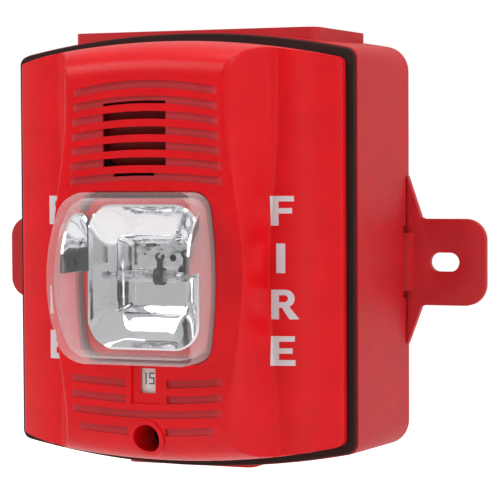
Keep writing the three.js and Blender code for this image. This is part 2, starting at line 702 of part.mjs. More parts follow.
// The same rows on every column: close together on the rolled ends, even between them.
function coverRows(edgeZ) {
  const near = [0, 0.06, 0.2, 0.42, 0.7, 1];
  const top = near.map((s) => edgeZ - s * ROLL_TOP);
  const bottom = near.map((s) => -edgeZ + s * ROLL_BOTTOM).reverse();
  const [from, to] = [top.at(-1), bottom[0]];
  const middle = [];
  const count = 8;
  for (let i = 1; i < count; i++) middle.push(from + ((to - from) * i) / count);
  return [...top, ...middle, ...bottom];
}

// The cover's outside, or the hollow inside it, closed by a flat back at backY.
function coverBody(inset, backY) {
  const arch = archOf(
    COVER_HALF_W - inset,
    COVER_HALF_H - inset,
    COVER_SAG,
    Math.max(COVER_CORNER - inset, 1),
  );
  const rowsAtMiddle = coverRows(arch.halfH);
  const grid = rowsAtMiddle.map((zMiddle, row) =>
    coverColumns(zMiddle, inset).map((x) => {
      const edgeZ = halfHeightAt(arch, x);
      const z = coverRows(edgeZ)[row];
      return new THREE.Vector3(x, COVER_Y - coverRise(x, z, edgeZ, inset), z);
    }),
  );
  return closeGrid(grid, backY);
}

// A grid of points, front to -Y, closed by side walls and a flat back.
function closeGrid(grid, backY) {
  const rows = grid.length;
  const columns = grid[0].length;
  const position = grid.flat().flatMap((p) => [p.x, p.y, p.z]);
  const index = [];
  for (let r = 0; r + 1 < rows; r++) {
    for (let c = 0; c + 1 < columns; c++) {
      const a = r * columns + c;
      index.push(a, a + columns, a + 1, a + 1, a + columns, a + columns + 1);
    }
  }
  const rim = [];
  for (let c = 0; c < columns; c++) rim.push(c);
  for (let r = 1; r < rows; r++) rim.push(r * columns + columns - 1);
  for (let c = columns - 2; c >= 0; c--) rim.push((rows - 1) * columns + c);
  for (let r = rows - 2; r > 0; r--) rim.push(r * columns);
  const start = position.length / 3;
  for (const i of rim) position.push(position[3 * i], backY, position[3 * i + 2]);
  const hub = position.length / 3;
  position.push(0, backY, 0);
  rim.forEach((a, i) => {
    const b = rim[(i + 1) % rim.length];
    const [c, d] = [start + i, start + ((i + 1) % rim.length)];
    index.push(a, b, c, b, d, c, c, d, hub);
  });
  const geometry = new THREE.BufferGeometry();
  geometry.setAttribute("position", new THREE.Float32BufferAttribute(position, 3));
  geometry.setIndex(index);
  return solid(geometry);
}

// An arched bar of the louvre's height, to cut with. rise is positive where the middle is high.
function louvreBar(z, x0, x1, rise, reach, y0, y1) {
  const curve = (x) => z - rise * (x / reach) ** 2;
  const points = [];
  for (let i = 0; i <= LOUVRE.steps; i++) {
    const x = x0 + ((x1 - x0) * i) / LOUVRE.steps;
    points.push(new THREE.Vector2(x, curve(x) - LOUVRE.height / 2));
  }
  for (let i = LOUVRE.steps; i >= 0; i--) {
    const x = x0 + ((x1 - x0) * i) / LOUVRE.steps;
    points.push(new THREE.Vector2(x, curve(x) + LOUVRE.height / 2));
  }
  return plateY(points, y0, y1);
}

function louvreCuts() {
  const cuts = [];
  const [y0, y1] = [PANEL_Y - 1, PANEL_Y + LOUVRE.depth];
  for (let k = 0; k < UPPER_ROWS; k++) {
    const z = UPPER_TOP_Z - k * LOUVRE.pitch;
    const reach = UPPER_HALF_W + k * UPPER_GROW;
    const rise = UPPER_RISE - k * UPPER_RISE_STEP;
    cuts.push(louvreBar(z, -reach, reach, rise, reach, y0, y1));
    if (k >= PORT.first && k <= PORT.last) {
      cuts.push(louvreBar(z, PORT.left, PORT.right, rise, reach, y0, PANEL_INNER_Y + 1));
    }
  }
  for (const { z, from, to } of LOWER_ROWS) {
    cuts.push(louvreBar(z, from, to, -LOWER_RISE, UPPER_HALF_W, y0, y1));
    if (from > 0) cuts.push(louvreBar(z, -to, -from, -LOWER_RISE, UPPER_HALF_W, y0, y1));
  }
  return cuts;
}

// Outline of the lens: straight ends, sides that swell towards the middle.
function lensOutline(grow, growEnd = grow) {
  const corner = LENS.corner + Math.min(grow, 0) * 0.5;
  const halfL = (LENS.top - LENS.bottom) / 2 + growEnd;
  const plain = roundRect(LENS.halfWEnd + grow, LENS_MID_Z - halfL, LENS_MID_Z + halfL, corner);
  const steps = 6;
  const swell = (z) => 1 - ((z - LENS_MID_Z) / halfL) ** 2;
  const points = [];
  plain.forEach((p, i) => {
    points.push(p);
    const next = plain[(i + 1) % plain.length];
    const upright = Math.abs(next.x - p.x) < 1e-6 && Math.abs(next.y - p.y) > corner;
    for (let s = 1; upright && s < steps; s++) points.push(p.clone().lerp(next, s / steps));
  });
  const extra = LENS.halfW - LENS.halfWEnd;
  return points.map((p) => {
    const side = Math.sign(p.x) * Math.min(1, Math.abs(p.x) / (LENS.halfWEnd + grow - corner));
    return new THREE.Vector2(p.x + side * extra * swell(p.y), p.y);
  });
}

// The lens seen from the side: flat back, front bowed out along Z.
function lensProfile(inset, backY) {
  const front = PANEL_Y - LENS_OUT + inset;
  const halfL = (LENS.top - LENS.bottom) / 2 - inset;
  const steps = 14;
  const points = [new THREE.Vector2(backY, LENS_MID_Z - halfL)];
  for (let i = 0; i <= steps; i++) {
    const s = -1 + (2 * i) / steps;
    const drop = LENS_DOME_DROP * (0.75 * s ** 2 + 0.25 * s ** 8);
    points.push(new THREE.Vector2(front + drop, LENS_MID_Z + s * halfL));
  }
  points.push(new THREE.Vector2(backY, LENS_MID_Z + halfL));
  return points.reverse();
}

function lensBody(inset, backY) {
  const reach = LENS.halfW + 5;
  const outline = plateY(lensOutline(-inset), PANEL_Y - LENS_OUT - 2, backY);
  return outline.intersect(plateX(lensProfile(inset, backY), -reach, reach));
}

const SEAL_Y = PANEL_INNER_Y + GAP; // front face of the seal behind the panel
const FLANGE_Y = SEAL_Y + SEAL_T + GAP; // front face of the lens flange

function lens() {
  const back = FLANGE_Y + LENS_FLANGE.t;
  return cut(
    join(
      lensBody(0, back),
      plateY(lensOutline(LENS_FLANGE.side, LENS_FLANGE.end), FLANGE_Y, back),
    ),
    lensBody(LENS.wall, back + 1),
  );
}

function lensSeal() {
  return cut(
    plateY(lensOutline(LENS_FLANGE.side, LENS_FLANGE.end), SEAL_Y, SEAL_Y + SEAL_T),
    plateY(lensOutline(GAP), SEAL_Y - 1, SEAL_Y + SEAL_T + 1),
  );
}

function frontCover() {
  const wellOuter = barY(WELL_R + WELL_WALL, 0, SCREW_Z, PANEL_Y - 1, PANEL_Y + WELL_DEPTH);
  const well = wellOuter.intersect(coverBody(-WELL_LIP, COVER_Y));
  const wellHole = barY(WELL_R, 0, SCREW_Z, PANEL_Y - 5, PANEL_Y + WELL_DEPTH + 1);
  let cover = cut(coverBody(0, COVER_Y), coverBody(COVER_WALL, COVER_Y + 1));
  for (const side of [-1, 1]) {
    for (const up of [-1, 1]) cover = cover.add(coverPost(side, up));
  }
  cover = cover.add(well);
  const recess = block(
    -RECESS.halfW,
    RECESS.halfW,
    PANEL_Y - 1,
    PANEL_Y + RECESS.depth,
    RECESS.bottom,
    RECESS.top,
  );
  const window = block(
    -WINDOW.halfW,
    WINDOW.halfW,
    PANEL_Y - 1,
    PANEL_INNER_Y + 1,
    WINDOW.bottom,
    WINDOW.top,
  );
  const lensHole = plateY(lensOutline(GAP), PANEL_Y - 2, PANEL_INNER_Y + 1);
  return cut(cover, wellHole, recess, window, lensHole, ...louvreCuts());
}

// A post inside the cover that a housing screw goes into.
function coverPost(side, up) {
  const [x, z] = [side * HOUSING_POST_X, up * HOUSING_POST_Z];
  const outerRise = coverRise(HOUSING_POST_X + HOUSING_POST.r, z, COVER_HALF_H, 0);
  const top = COVER_Y - outerRise + COVER_WALL / 2;
  const foot = HOUSING_BACK_Y - HOUSING_WALL - GAP;
  return cut(
    barY(HOUSING_POST.r, x, z, top, foot, 16),
    barY(HOUSING_POST.hole, x, z, top + COVER_WALL + 2, foot + 1, 12),
  );
}

// ---------------------------------------------------------------- rear housing
function rearHousing() {
  const tray = cut(
    plateY(
      archOutline(HOUSING_HALF_W, HOUSING_HALF_H, COVER_SAG, HOUSING_CORNER),
      HOUSING_FRONT_Y,
      HOUSING_BACK_Y,
    ),
    plateY(
      archOutline(
        HOUSING_HALF_W - HOUSING_WALL,
        HOUSING_HALF_H - HOUSING_WALL,
        COVER_SAG,
        HOUSING_CORNER - HOUSING_WALL,
      ),
      HOUSING_FRONT_Y - 1,
      HOUSING_BACK_Y - HOUSING_WALL,
    ),
  );
  const floorY = HOUSING_BACK_Y - HOUSING_WALL;
  let shape = tray;
  for (const side of [-1, 1]) {
    shape = shape.add(housingTab(side));
    for (const up of [-1, 1]) {
      const post = [side * BOARD_SCREW_X, up * BOARD_SCREW_Z];
      shape = shape.add(barY(BOARD.postR, ...post, floorY - BOARD.post, floorY + 0.5, 16));
      shape = cut(
        shape,
        barY(BOARD_SCREW.r + GAP, ...post, floorY - BOARD.post - 1, HOUSING_BACK_Y - 0.8, 12),
        barY(
          HOUSING_SCREW.r + GAP,
          side * HOUSING_POST_X,
          up * HOUSING_POST_Z,
          floorY - 1,
          HOUSING_BACK_Y + 1,
          14,
        ),
      );
    }
  }
  return cut(
    shape,
    barY(SCREW_R + 2 * GAP, 0, SCREW_Z, floorY - 1, HOUSING_BACK_Y + 1, 16),
    barY(TONE.r + GAP, TONE.x, TONE.z, floorY - 1, HOUSING_BACK_Y + 1, 24),
    sliderSlot(floorY - 1, HOUSING_BACK_Y + 1),
    ...contactHoles(floorY - 1, HOUSING_BACK_Y + 1),
  );
}

// The tab that stands under the plate's hook, its lip behind the hook's.
function housingTab(side) {
  const [x0, x1] = [side * HOOK.x - HOOK.halfW, side * HOOK.x + HOOK.halfW];
  const lipY = HOOK_Y + HOOK.lipT + HOOK.play;
  const top = HOOK_Z - HOOK.lip - GAP;
  return join(
    block(x0, x1, HOUSING_BACK_Y - 0.5, lipY + HOOK.lipT, top - HOOK.t, top),
    block(x0, x1, lipY, lipY + HOOK.lipT, top - 0.5, HOOK_Z),
  );
}

// A screw driven from behind, its head against the housing's back.
function housingScrew(side, up) {
  const shape = screwY(HOUSING_SCREW, side * HOUSING_POST_X, up * HOUSING_POST_Z, 0);
  return shape.mirror([0, 1, 0]).translate([0, HOUSING_BACK_Y + GAP, 0]);
}

function sliderSlot(y0, y1) {
  return block(
    -SLIDER_ARM.halfW - SLOT_PLAY,
    SLIDER_ARM.halfW + SLIDER.travel + SLOT_PLAY,
    y0,
    y1,
    SLIDER_MID_Z - SLIDER_ARM.halfH - SLOT_PLAY,
    SLIDER_MID_Z + SLIDER_ARM.halfH + SLOT_PLAY,
  );
}

function contactHoles(y0, y1) {
  const holes = [];
  for (let i = 0; i < TERMINALS.count; i++) {
    holes.push(barY(PIN_R + GAP, terminalX(i), CONTACT_Z, y0, y1, 12));
  }
  return holes;
}

const CONTACT_Z = TERMINALS.z + TERMINALS.halfH - 2;

// A sprung contact that stands on the back of the board and presses on the terminal block.
function contactPin(i) {
  const front = BOARD_BACK_Y + GAP;
  return join(
    barY(PIN_R, terminalX(i), CONTACT_Z, front, TERMINAL_FRONT_Y - 2 * GAP, 12),
    barY(PIN_R + 1.2, terminalX(i), CONTACT_Z, front, front + 1.2, 16),
  );
}

// ---------------------------------------------------------------- board and electronics
function circuitBoard() {
  const outline = roundRect(BOARD_HALF_W, -BOARD_HALF_H, BOARD_HALF_H, 3);
  let board = cut(
    plateY(outline, BOARD_Y, BOARD_BACK_Y),
    sliderSlot(BOARD_Y - 1, BOARD_BACK_Y + 1),
  );
  for (const side of [-1, 1]) {
    for (const up of [-1, 1]) {
      const [x, z] = [side * BOARD_SCREW_X, up * BOARD_SCREW_Z];
      board = board.subtract(
        barY(BOARD_SCREW.r + GAP, x, z, BOARD_Y - 1, BOARD_BACK_Y + 1, 12),
      );
    }
  }
  return board;
}

function boardScrew(side, up) {
  const length = BOARD.t + GAP + 3.4;
  return screwY({ ...BOARD_SCREW, length }, side * BOARD_SCREW_X, up * BOARD_SCREW_Z, ON_BOARD_Y);
}

// The chamber stops short of the cover's inside, which is lowest over the chamber's upper edge.
const HORN_FRONT_Y =
  COVER_Y - coverRise(HORN.x, HORN_Z + HORN.r, COVER_HALF_H - COVER_WALL, COVER_WALL) + HORN_FRONT_GAP;
const SHELF_Y = HORN_FRONT_Y + SHELF.fromFront; // front face of the shelf the disc rests on

function hornChamber() {
  const bore = HORN.r - HORN.wall;
  return cut(
    barY(HORN.r, HORN.x, HORN_Z, HORN_FRONT_Y, ON_BOARD_Y, 24),
    barY(bore, HORN.x, HORN_Z, HORN_FRONT_Y - 1, SHELF_Y, 24),
    barY(bore - SHELF.width, HORN.x, HORN_Z, SHELF_Y - 1, ON_BOARD_Y + 1, 24),
    barX(3, (SHELF_Y + ON_BOARD_Y) / 2, HORN_Z, HORN.x, HORN.x + HORN.r + 2, 12),
  );
}

function piezoDisc() {
  const r = HORN.r - HORN.wall - GAP;
  const dome = barY(r * 0.62, HORN.x, HORN_Z, SHELF_Y - GAP - PIEZO_T - 0.4, SHELF_Y - GAP - 0.1, 24);
  return barY(r, HORN.x, HORN_Z, SHELF_Y - GAP - PIEZO_T, SHELF_Y - GAP, 24).add(dome);
}

function piezoRetainer() {
  const r = HORN.r - HORN.wall - GAP;
  const front = SHELF_Y - 2 * GAP - PIEZO_T - RETAINER_T;
  return cut(
    barY(r, HORN.x, HORN_Z, front, front + RETAINER_T, 24),
    barY(r - SHELF.width, HORN.x, HORN_Z, front - 1, front + RETAINER_T + 1, 24),
  );
}

function capacitor() {
  const { x, z, r, length } = CAPACITOR;
  const rim = cut(
    barY(r - 1, x, z, ON_BOARD_Y - length - 1, ON_BOARD_Y - length + 0.5, 24),
    barY(r - 2, x, z, ON_BOARD_Y - length - 2, ON_BOARD_Y - length, 24),
  );
  return barY(r, x, z, ON_BOARD_Y - length, ON_BOARD_Y, 24).add(rim);
}

function inverterCoil() {
  const { x, z, halfW, halfH, coreT, windingR, length } = COIL;
  return join(
    block(x - halfW, x + halfW, ON_BOARD_Y - coreT, ON_BOARD_Y, z - halfH, z + halfH),
    block(x - halfW, x + halfW, ON_BOARD_Y - length, ON_BOARD_Y - length + coreT, z - halfH, z + halfH),
    barY(windingR, x, z, ON_BOARD_Y - length + 1, ON_BOARD_Y - 1, 16),
    block(x - halfW, x - halfW + 2, ON_BOARD_Y - length + 1, ON_BOARD_Y - 1, z - halfH + 2, z + halfH - 2),
    block(x + halfW - 2, x + halfW, ON_BOARD_Y - length + 1, ON_BOARD_Y - 1, z - halfH + 2, z + halfH - 2),
  );
}

function triggerCoil() {
  const { x, z, r, length } = TRIGGER_COIL;
  return join(
    barY(r, x, z, ON_BOARD_Y - length, ON_BOARD_Y, 16),
    barY(r + 1, x, z, ON_BOARD_Y - 1.4, ON_BOARD_Y, 16),
    barY(r + 1, x, z, ON_BOARD_Y - length, ON_BOARD_Y - length + 1.2, 16),
  );
}

// ---------------------------------------------------------------- strobe
const REFLECTOR_FRONT_Y = PANEL_Y - REFLECTOR.frontIn;

function reflectorRing(y, grow) {
  const s = (y - REFLECTOR_FRONT_Y) / REFLECTOR_DEPTH;
  const keep = Math.cos(Math.min(1, Math.max(0, s)) * 0.95);
  const middle = (REFLECTOR.top + REFLECTOR.bottom) / 2;
  const halfW = REFLECTOR.halfW * keep + grow;
  const halfH = ((REFLECTOR.top - REFLECTOR.bottom) / 2) * keep + grow;
  return ringAt(roundRect(halfW, middle - halfH, middle + halfH, REFLECTOR.corner + grow), y);
}

// A square bowl with a trough across its floor, two legs to the board, and holes for the leads.
function reflector() {
  const steps = [0, 0.2, 0.45, 0.7, 0.9, 1];
  const at = (s) => REFLECTOR_FRONT_Y + s * REFLECTOR_DEPTH;
  const bowl = loft(steps.map((s) => reflectorRing(at(s), 0)));
  const outer = loft([
    ...steps.map((s) => reflectorRing(at(s), REFLECTOR.wall)),
    reflectorRing(at(1) + REFLECTOR.wall, REFLECTOR.wall - 1),
  ]);
  const inner = bowl.add(loft([reflectorRing(at(0) - 1, 0), reflectorRing(at(0.05), 0)]));
  const floorY = at(1) + REFLECTOR.wall;
  const trough = (grow, y0, y1) =>
    block(
      -TROUGH.halfW - grow,
      TROUGH.halfW + grow,
      y0,
      y1,
      TUBE.z - TROUGH.halfH - grow,
      TUBE.z + TROUGH.halfH + grow,
    );
  const deep = floorY + 3;
  const legs = [-1, 1].map((side) =>
    barY(REFLECTOR_LEG_R, side * 7, TUBE.z + TROUGH.halfH + 5, floorY - 1, ON_BOARD_Y, 16),
  );
  const shape = join(outer, trough(REFLECTOR.wall, floorY - 1.2, deep + REFLECTOR.wall), ...legs);
  const holes = [-1, 1].map((side) =>
    barY(LEAD_R + 0.6, side * LEAD_X, TUBE.z, REFLECTOR_FRONT_Y, ON_BOARD_Y, 12),
  );
  const bandHole = barY(BAND.leadR + 0.5, BAND.x, TUBE.z + BAND.leadUp, floorY - 3, ON_BOARD_Y, 12);
  return cut(shape, inner, trough(0, floorY - 3, deep), bandHole, ...holes);
}

const LEAD_X = TUBE.halfL + TUBE_CAP + 1.2;

const flashTube = () => barX(TUBE.r, TUBE_Y, TUBE.z, -TUBE.halfL, TUBE.halfL, 16);

// A metal end cap on the tube with the wire that carries it back to the board.
function tubeElectrode(side) {
  const x0 = TUBE.halfL + GAP;
  const x1 = x0 + TUBE_CAP;
  const shape = join(
    barX(TUBE.r - 0.5, TUBE_Y, TUBE.z, x0, x1, 16),
    barX(LEAD_R, TUBE_Y, TUBE.z, x1 - 0.5, LEAD_X + LEAD_R, 10),
    barY(LEAD_R, LEAD_X, TUBE.z, TUBE_Y - LEAD_R, ON_BOARD_Y, 10),
  );
  return side > 0 ? shape : shape.mirror([1, 0, 0]);
}

// The trigger band round the tube, with the strap that runs up and back to the board.
function triggerBand() {
  const [x0, x1] = [BAND.x - BAND.halfL, BAND.x + BAND.halfL];
  const inner = TUBE.r + GAP;
  const outer = inner + BAND.t;
  return cut(
    join(
      barX(outer, TUBE_Y, TUBE.z, x0, x1, 16),
      block(
        BAND.x - 0.8,
        BAND.x + 0.8,
        TUBE_Y - 0.4,
        TUBE_Y + 0.4,
        TUBE.z + inner + 0.2,
        TUBE.z + BAND.leadUp,
      ),
      barY(BAND.leadR, BAND.x, TUBE.z + BAND.leadUp, TUBE_Y - BAND.leadR, ON_BOARD_Y, 10),
    ),
    barX(inner, TUBE_Y, TUBE.z, x0 - 1, x1 + 1, 16),
  );
}

// ---------------------------------------------------------------- selectors and fixing screw
function candelaSlider() {
  const back = SLIDER_Y + SLIDER.t;
  return join(
    block(SLIDER.left, SLIDER.right, SLIDER_Y, back, SLIDER.bottom, SLIDER.top),
    block(
      -SLIDER_ARM.halfW,
      SLIDER_ARM.halfW,
      back - 0.5,
      HOUSING_BACK_Y + 1.5,
      SLIDER_MID_Z - SLIDER_ARM.halfH,
      SLIDER_MID_Z + SLIDER_ARM.halfH,
    ),
  );
}

// The rail behind the strip that keeps it in line, on two legs.
function sliderTrack() {
  const y0 = SLIDER_Y + SLIDER.t + GAP;
  const y1 = y0 + TRACK.t;
  const left = SLIDER.left - TRACK.past;
  const right = SLIDER.right + SLIDER.travel + TRACK.past;
  const leg = TRACK.legR;
  const rail = block(left, right, y0, y1, SLIDER.bottom, SLIDER.top);
  const slot = block(
    -SLIDER_ARM.halfW - SLOT_PLAY,
    SLIDER_ARM.halfW + SLIDER.travel + SLOT_PLAY,
    y0 - 1,
    y1 + 1,
    SLIDER_MID_Z - SLIDER_ARM.halfH - SLOT_PLAY,
    SLIDER_MID_Z + SLIDER_ARM.halfH + SLOT_PLAY,
  );
  return join(
    cut(rail, slot),
    barY(leg, left + leg, SLIDER.bottom + leg + 0.5, y1 - 0.5, ON_BOARD_Y, 12),
    barY(leg, right - leg, SLIDER.bottom + leg + 0.5, y1 - 0.5, ON_BOARD_Y, 12),
  );
}

function toneKnob() {
  const [y0, y1] = [BOARD_BACK_Y + GAP + TONE.bodyT + GAP, HOUSING_BACK_Y - 0.4];
  const slot = block(
    TONE.x - TONE.slot / 2,
    TONE.x + TONE.slot / 2,
    y1 - 1.2,
    y1 + 1,
    TONE.z - 0.6,
    TONE.z + TONE.r + 1,
  );
  return cut(barY(TONE.r, TONE.x, TONE.z, y0, y1, 24), slot);
}

function toneSwitch() {
  const y0 = BOARD_BACK_Y + GAP;
  return block(
    TONE.x - TONE.bodyR,
    TONE.x + TONE.bodyR,
    y0,
    y0 + TONE.bodyT,
    TONE.z - TONE.bodyR,
    TONE.z + TONE.bodyR,
  );
}

// The long screw that holds the device: cross slot in its head, tip in the plate's boss.
function deviceScrew() {
  const seat = SCREW_HEAD_Y + SCREW_HEAD_T;
  const tip = PLATE_FRONT_Y - PLATE_BOSS.length + 2.5;
  const shape = join(
    barY(SCREW_HEAD_R, 0, SCREW_Z, SCREW_HEAD_Y, seat, 24),
    barY(SCREW_R, 0, SCREW_Z, seat - 0.5, tip, 18),
  );
  const slots = [
    [SCREW_HEAD_R * 0.7, 0.45],
    [0.45, SCREW_HEAD_R * 0.7],
  ].map(([w, h]) =>
    block(-w, w, SCREW_HEAD_Y - 1, SCREW_HEAD_Y + 1.6, SCREW_Z - h, SCREW_Z + h),
  );
  return cut(shape, ...slots);
}

// ---------------------------------------------------------------- assembly
const CORNERS = [
  [-1, 1],
  [1, 1],
  [-1, -1],
  [1, -1],
];

function wallBoxGroup() {
  const group = new THREE.Group();
  group.add(
    node("back_box", backBox(), redBox),
    node("ear_left", ear(-1), redBox),
    node("ear_right", ear(1), redBox),
    node("conduit_plug_top", conduitPlug(1), steel),
    node("conduit_plug_bottom", conduitPlug(-1), steel),
    node("box_gasket", gasket(), blackRubber),
    node("mounting_plate", mountingPlate(), greyPlastic),
    node("terminal_block", terminalBlock(), blackPlastic),
  );
  CORNERS.forEach(([side, up], i) => {
    const seat = PLATE_FRONT_Y - GAP;
    const screw = screwY(PLATE_SCREW, side * PLATE_POST_X, up * PLATE_POST_Z, seat);
    group.add(node(`plate_screw_${i + 1}`, screw, steel));
  });
  for (let i = 0; i < TERMINALS.count; i++) {
    group.add(node(`terminal_clamp_${i + 1}`, terminalClamp(i), brass));
    group.add(node(`terminal_screw_${i + 1}`, terminalScrew(i), steel));
  }
  return group;
}

function deviceGroup() {
  const group = new THREE.Group();
  group.add(
    node("front_cover", frontCover(), redCover),
    node("rear_housing", rearHousing(), blackPlastic),
    node("circuit_board", circuitBoard(), boardGreen),
    node("lens", lens(), clear),
    node("lens_seal", lensSeal(), blackRubber),
    node("reflector", reflector(), chrome),
    node("flash_tube", flashTube(), clear),
    node("tube_electrode_left", tubeElectrode(-1), steel),
    node("tube_electrode_right", tubeElectrode(1), steel),
    node("trigger_band", triggerBand(), blackPlastic),
    node("horn_chamber", hornChamber(), blackPlastic),
    node("piezo_disc", piezoDisc(), brass),
    node("piezo_retainer", piezoRetainer(), blackPlastic),
    node("flash_capacitor", capacitor(), blackPlastic),
    node("inverter_coil", inverterCoil(), copper),
    node("trigger_coil", triggerCoil(), copper),
    node("slider_track", sliderTrack(), blackPlastic),
    node("tone_switch", toneSwitch(), blackPlastic),
    node("candela_slider", candelaSlider(), whitePlastic),
    node("tone_knob", toneKnob(), whitePlastic),
    node("device_screw", deviceScrew(), steel),
  );
  CORNERS.forEach(([side, up], i) => {
    group.add(node(`board_screw_${i + 1}`, boardScrew(side, up), steel));
    group.add(node(`housing_screw_${i + 1}`, housingScrew(side, up), steel));
  });
  for (let i = 0; i < TERMINALS.count; i++) {
    group.add(node(`contact_pin_${i + 1}`, contactPin(i), brass));
  }
  return group;
}

const hornStrobe = new THREE.Group();
hornStrobe.add(wallBoxGroup(), deviceGroup());

export default hornStrobe;
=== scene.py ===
import json
import math

import bmesh
import bpy
from bpy.props import FloatProperty, FloatVectorProperty, PointerProperty
from mathutils import Matrix, Vector

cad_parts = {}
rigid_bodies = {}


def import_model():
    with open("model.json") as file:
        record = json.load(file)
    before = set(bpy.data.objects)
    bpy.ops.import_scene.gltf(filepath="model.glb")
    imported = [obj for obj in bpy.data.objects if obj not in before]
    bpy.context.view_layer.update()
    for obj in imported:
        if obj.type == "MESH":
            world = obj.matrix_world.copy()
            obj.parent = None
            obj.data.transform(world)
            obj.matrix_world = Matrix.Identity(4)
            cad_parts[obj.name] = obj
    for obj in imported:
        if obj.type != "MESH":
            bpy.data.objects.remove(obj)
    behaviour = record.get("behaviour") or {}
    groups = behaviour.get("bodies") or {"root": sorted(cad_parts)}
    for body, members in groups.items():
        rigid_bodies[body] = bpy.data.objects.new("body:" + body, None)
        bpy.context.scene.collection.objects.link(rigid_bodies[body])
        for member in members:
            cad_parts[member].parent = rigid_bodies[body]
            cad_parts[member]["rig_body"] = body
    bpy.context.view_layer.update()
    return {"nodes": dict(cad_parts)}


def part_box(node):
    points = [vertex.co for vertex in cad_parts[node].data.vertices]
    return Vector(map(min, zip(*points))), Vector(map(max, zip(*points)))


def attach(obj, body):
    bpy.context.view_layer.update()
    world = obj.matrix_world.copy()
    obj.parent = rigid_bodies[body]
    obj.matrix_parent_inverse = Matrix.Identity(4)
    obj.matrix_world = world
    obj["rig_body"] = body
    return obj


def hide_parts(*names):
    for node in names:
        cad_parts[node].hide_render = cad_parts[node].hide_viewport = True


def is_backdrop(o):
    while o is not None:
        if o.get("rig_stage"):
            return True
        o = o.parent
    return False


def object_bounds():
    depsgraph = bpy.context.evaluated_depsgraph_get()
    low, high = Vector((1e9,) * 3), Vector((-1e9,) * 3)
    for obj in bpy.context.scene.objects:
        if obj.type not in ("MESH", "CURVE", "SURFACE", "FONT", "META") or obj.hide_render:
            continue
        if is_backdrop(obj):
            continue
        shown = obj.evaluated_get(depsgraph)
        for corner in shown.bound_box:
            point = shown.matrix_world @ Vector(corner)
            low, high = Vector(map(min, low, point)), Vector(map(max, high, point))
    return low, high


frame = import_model()

bl_info = {
    "name": "Horn Strobe",
    "version": (1, 0, 0),
    "blender": (4, 5, 0),
    "location": "3D View > Sidebar > Horn Strobe",
    "description": "Builds the finished pieces of an outdoor wall horn strobe around its CAD frame",
    "category": "Object",
}

# Lengths here are in millimetres and turned into metres where a mesh is made. +Z is up, the
# wall is at y = 0, and the front faces -Y.
MM = 0.001


def corners(node):
    """Lowest and highest corner of a CAD node, in millimetres."""
    low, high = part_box(node)
    return low / MM, high / MM


def linear(code):
    """The linear colour of a six-digit screen colour."""
    parts = [int(code[i:i + 2], 16) / 255 for i in (0, 2, 4)]
    return tuple(c / 12.92 if c <= 0.04045 else ((c + 0.055) / 1.055) ** 2.4 for c in parts)


# ---------------------------------------------------------------- sizes read from the frame
GAP = 0.3  # space between two pieces that touch
COVER_LOW, COVER_HIGH = corners("front_cover")
GASKET_LOW, GASKET_HIGH = corners("box_gasket")
LENS_LOW, LENS_HIGH = corners("lens")
BOX_LOW, BOX_HIGH = corners("back_box")
EAR_LOW, EAR_HIGH = corners("ear_right")
TUBE_LOW, TUBE_HIGH = corners("flash_tube")
BAND_LOW, BAND_HIGH = corners("trigger_band")
SCREW_LOW, SCREW_HIGH = corners("device_screw")

# ---------------------------------------------------------------- front cover
COVER_Y = GASKET_LOW.y - GAP  # back face of the rim
COVER_HALF_W = COVER_HIGH.x
COVER_HALF_H = COVER_HIGH.z
COVER_SAG = 6.7
COVER_CORNER = 2.5
COVER_WALL = 2.2
EDGE_RISE = 4.4
EDGE_ROUND = 1.5
WELL_LIP = 0.6
PANEL_Y = COVER_LOW.y + WELL_LIP
PANEL_RISE = COVER_Y - PANEL_Y
PANEL_INNER_Y = PANEL_Y + COVER_WALL
FLANK_RISE = 13.2
FLANK_CURVE = 1.7
RIDGE_HALF_W = 29.2
RIDGE_BULGE = 5.7
RIDGE_BULGE_Z = -7
RIDGE_BULGE_REACH = 58
WALL_RUN_END = 9.4
WALL_RUN_MIDDLE = 1.9
ROLL_RISE = 3.6
ROLL_TOP = 12
ROLL_BOTTOM = 14.5
ROLL_POWER = 2.5
RIDGE_BLEND = 2.2
FOOT_BLEND = 4.5
GRID_COLUMNS = ((0, 0), (7, -2.5), (29, 3.5), (45, -EDGE_ROUND), (51, 0))
ROWS_ROLL = 18
ROWS_MIDDLE = 44

# Louvres
LOUVRE_HEIGHT = 2.6
LOUVRE_PITCH = 5.08
LOUVRE_FADE = 4.5  # length over which a groove runs out at its outer end
UPPER_ROWS = 7
UPPER_TOP_Z = 55.9
UPPER_HALF_W = 26.1
UPPER_GROW = 0.3
UPPER_RISE = 2.9
UPPER_RISE_STEP = 0.19
LOWER_RISE = 1.4
# Middle height of each lower row, and where it begins and ends on either side
LOWER_ROWS = ((-43.2, 7.4, 27.6), (-48.4, 7.4, 27.6), (-53.3, 0, 27.4), (-59.1, 6.8, 25))
PORT_LEFT, PORT_RIGHT = -15.6, 7.2
# Row, left and right end, share of the groove's height, and how far off its middle
PORTS = (
    (1, PORT_LEFT, PORT_RIGHT, 0.38, -0.8),
    *((row, PORT_LEFT, PORT_RIGHT, 1, 0) for row in range(2, 6)),
    (6, -11.8, 3.1, 0.4, 0.78),
)

# Baffle in the horn's mouth
HORN_WALL = 2
BAFFLE_IN = 1.2
BAFFLE_T = 1.2
BAFFLE_SLITS = 6
BAFFLE_SLIT = 1
BAFFLE_MARGIN = 4

# Candela window and the fixing screw's well: left, right, bottom and top
RECESS = (-5.35, 5.35, -49.8, -36.9)
RECESS_DEPTH = 0.9
WINDOW = (-2.4, 3.1, -46.3, -38)
SCREW_Z = (SCREW_LOW.z + SCREW_HIGH.z) / 2
WELL_R = 4.7
WELL_WALL = 1.5
WELL_DEPTH = 17

# Posts for the housing's screws
POST_R = 3.6
POST_HOLE_R = 1.4
POST_FROM_SIDE = 9
POST_FROM_END = 17
HOUSING_LIP = 2.3

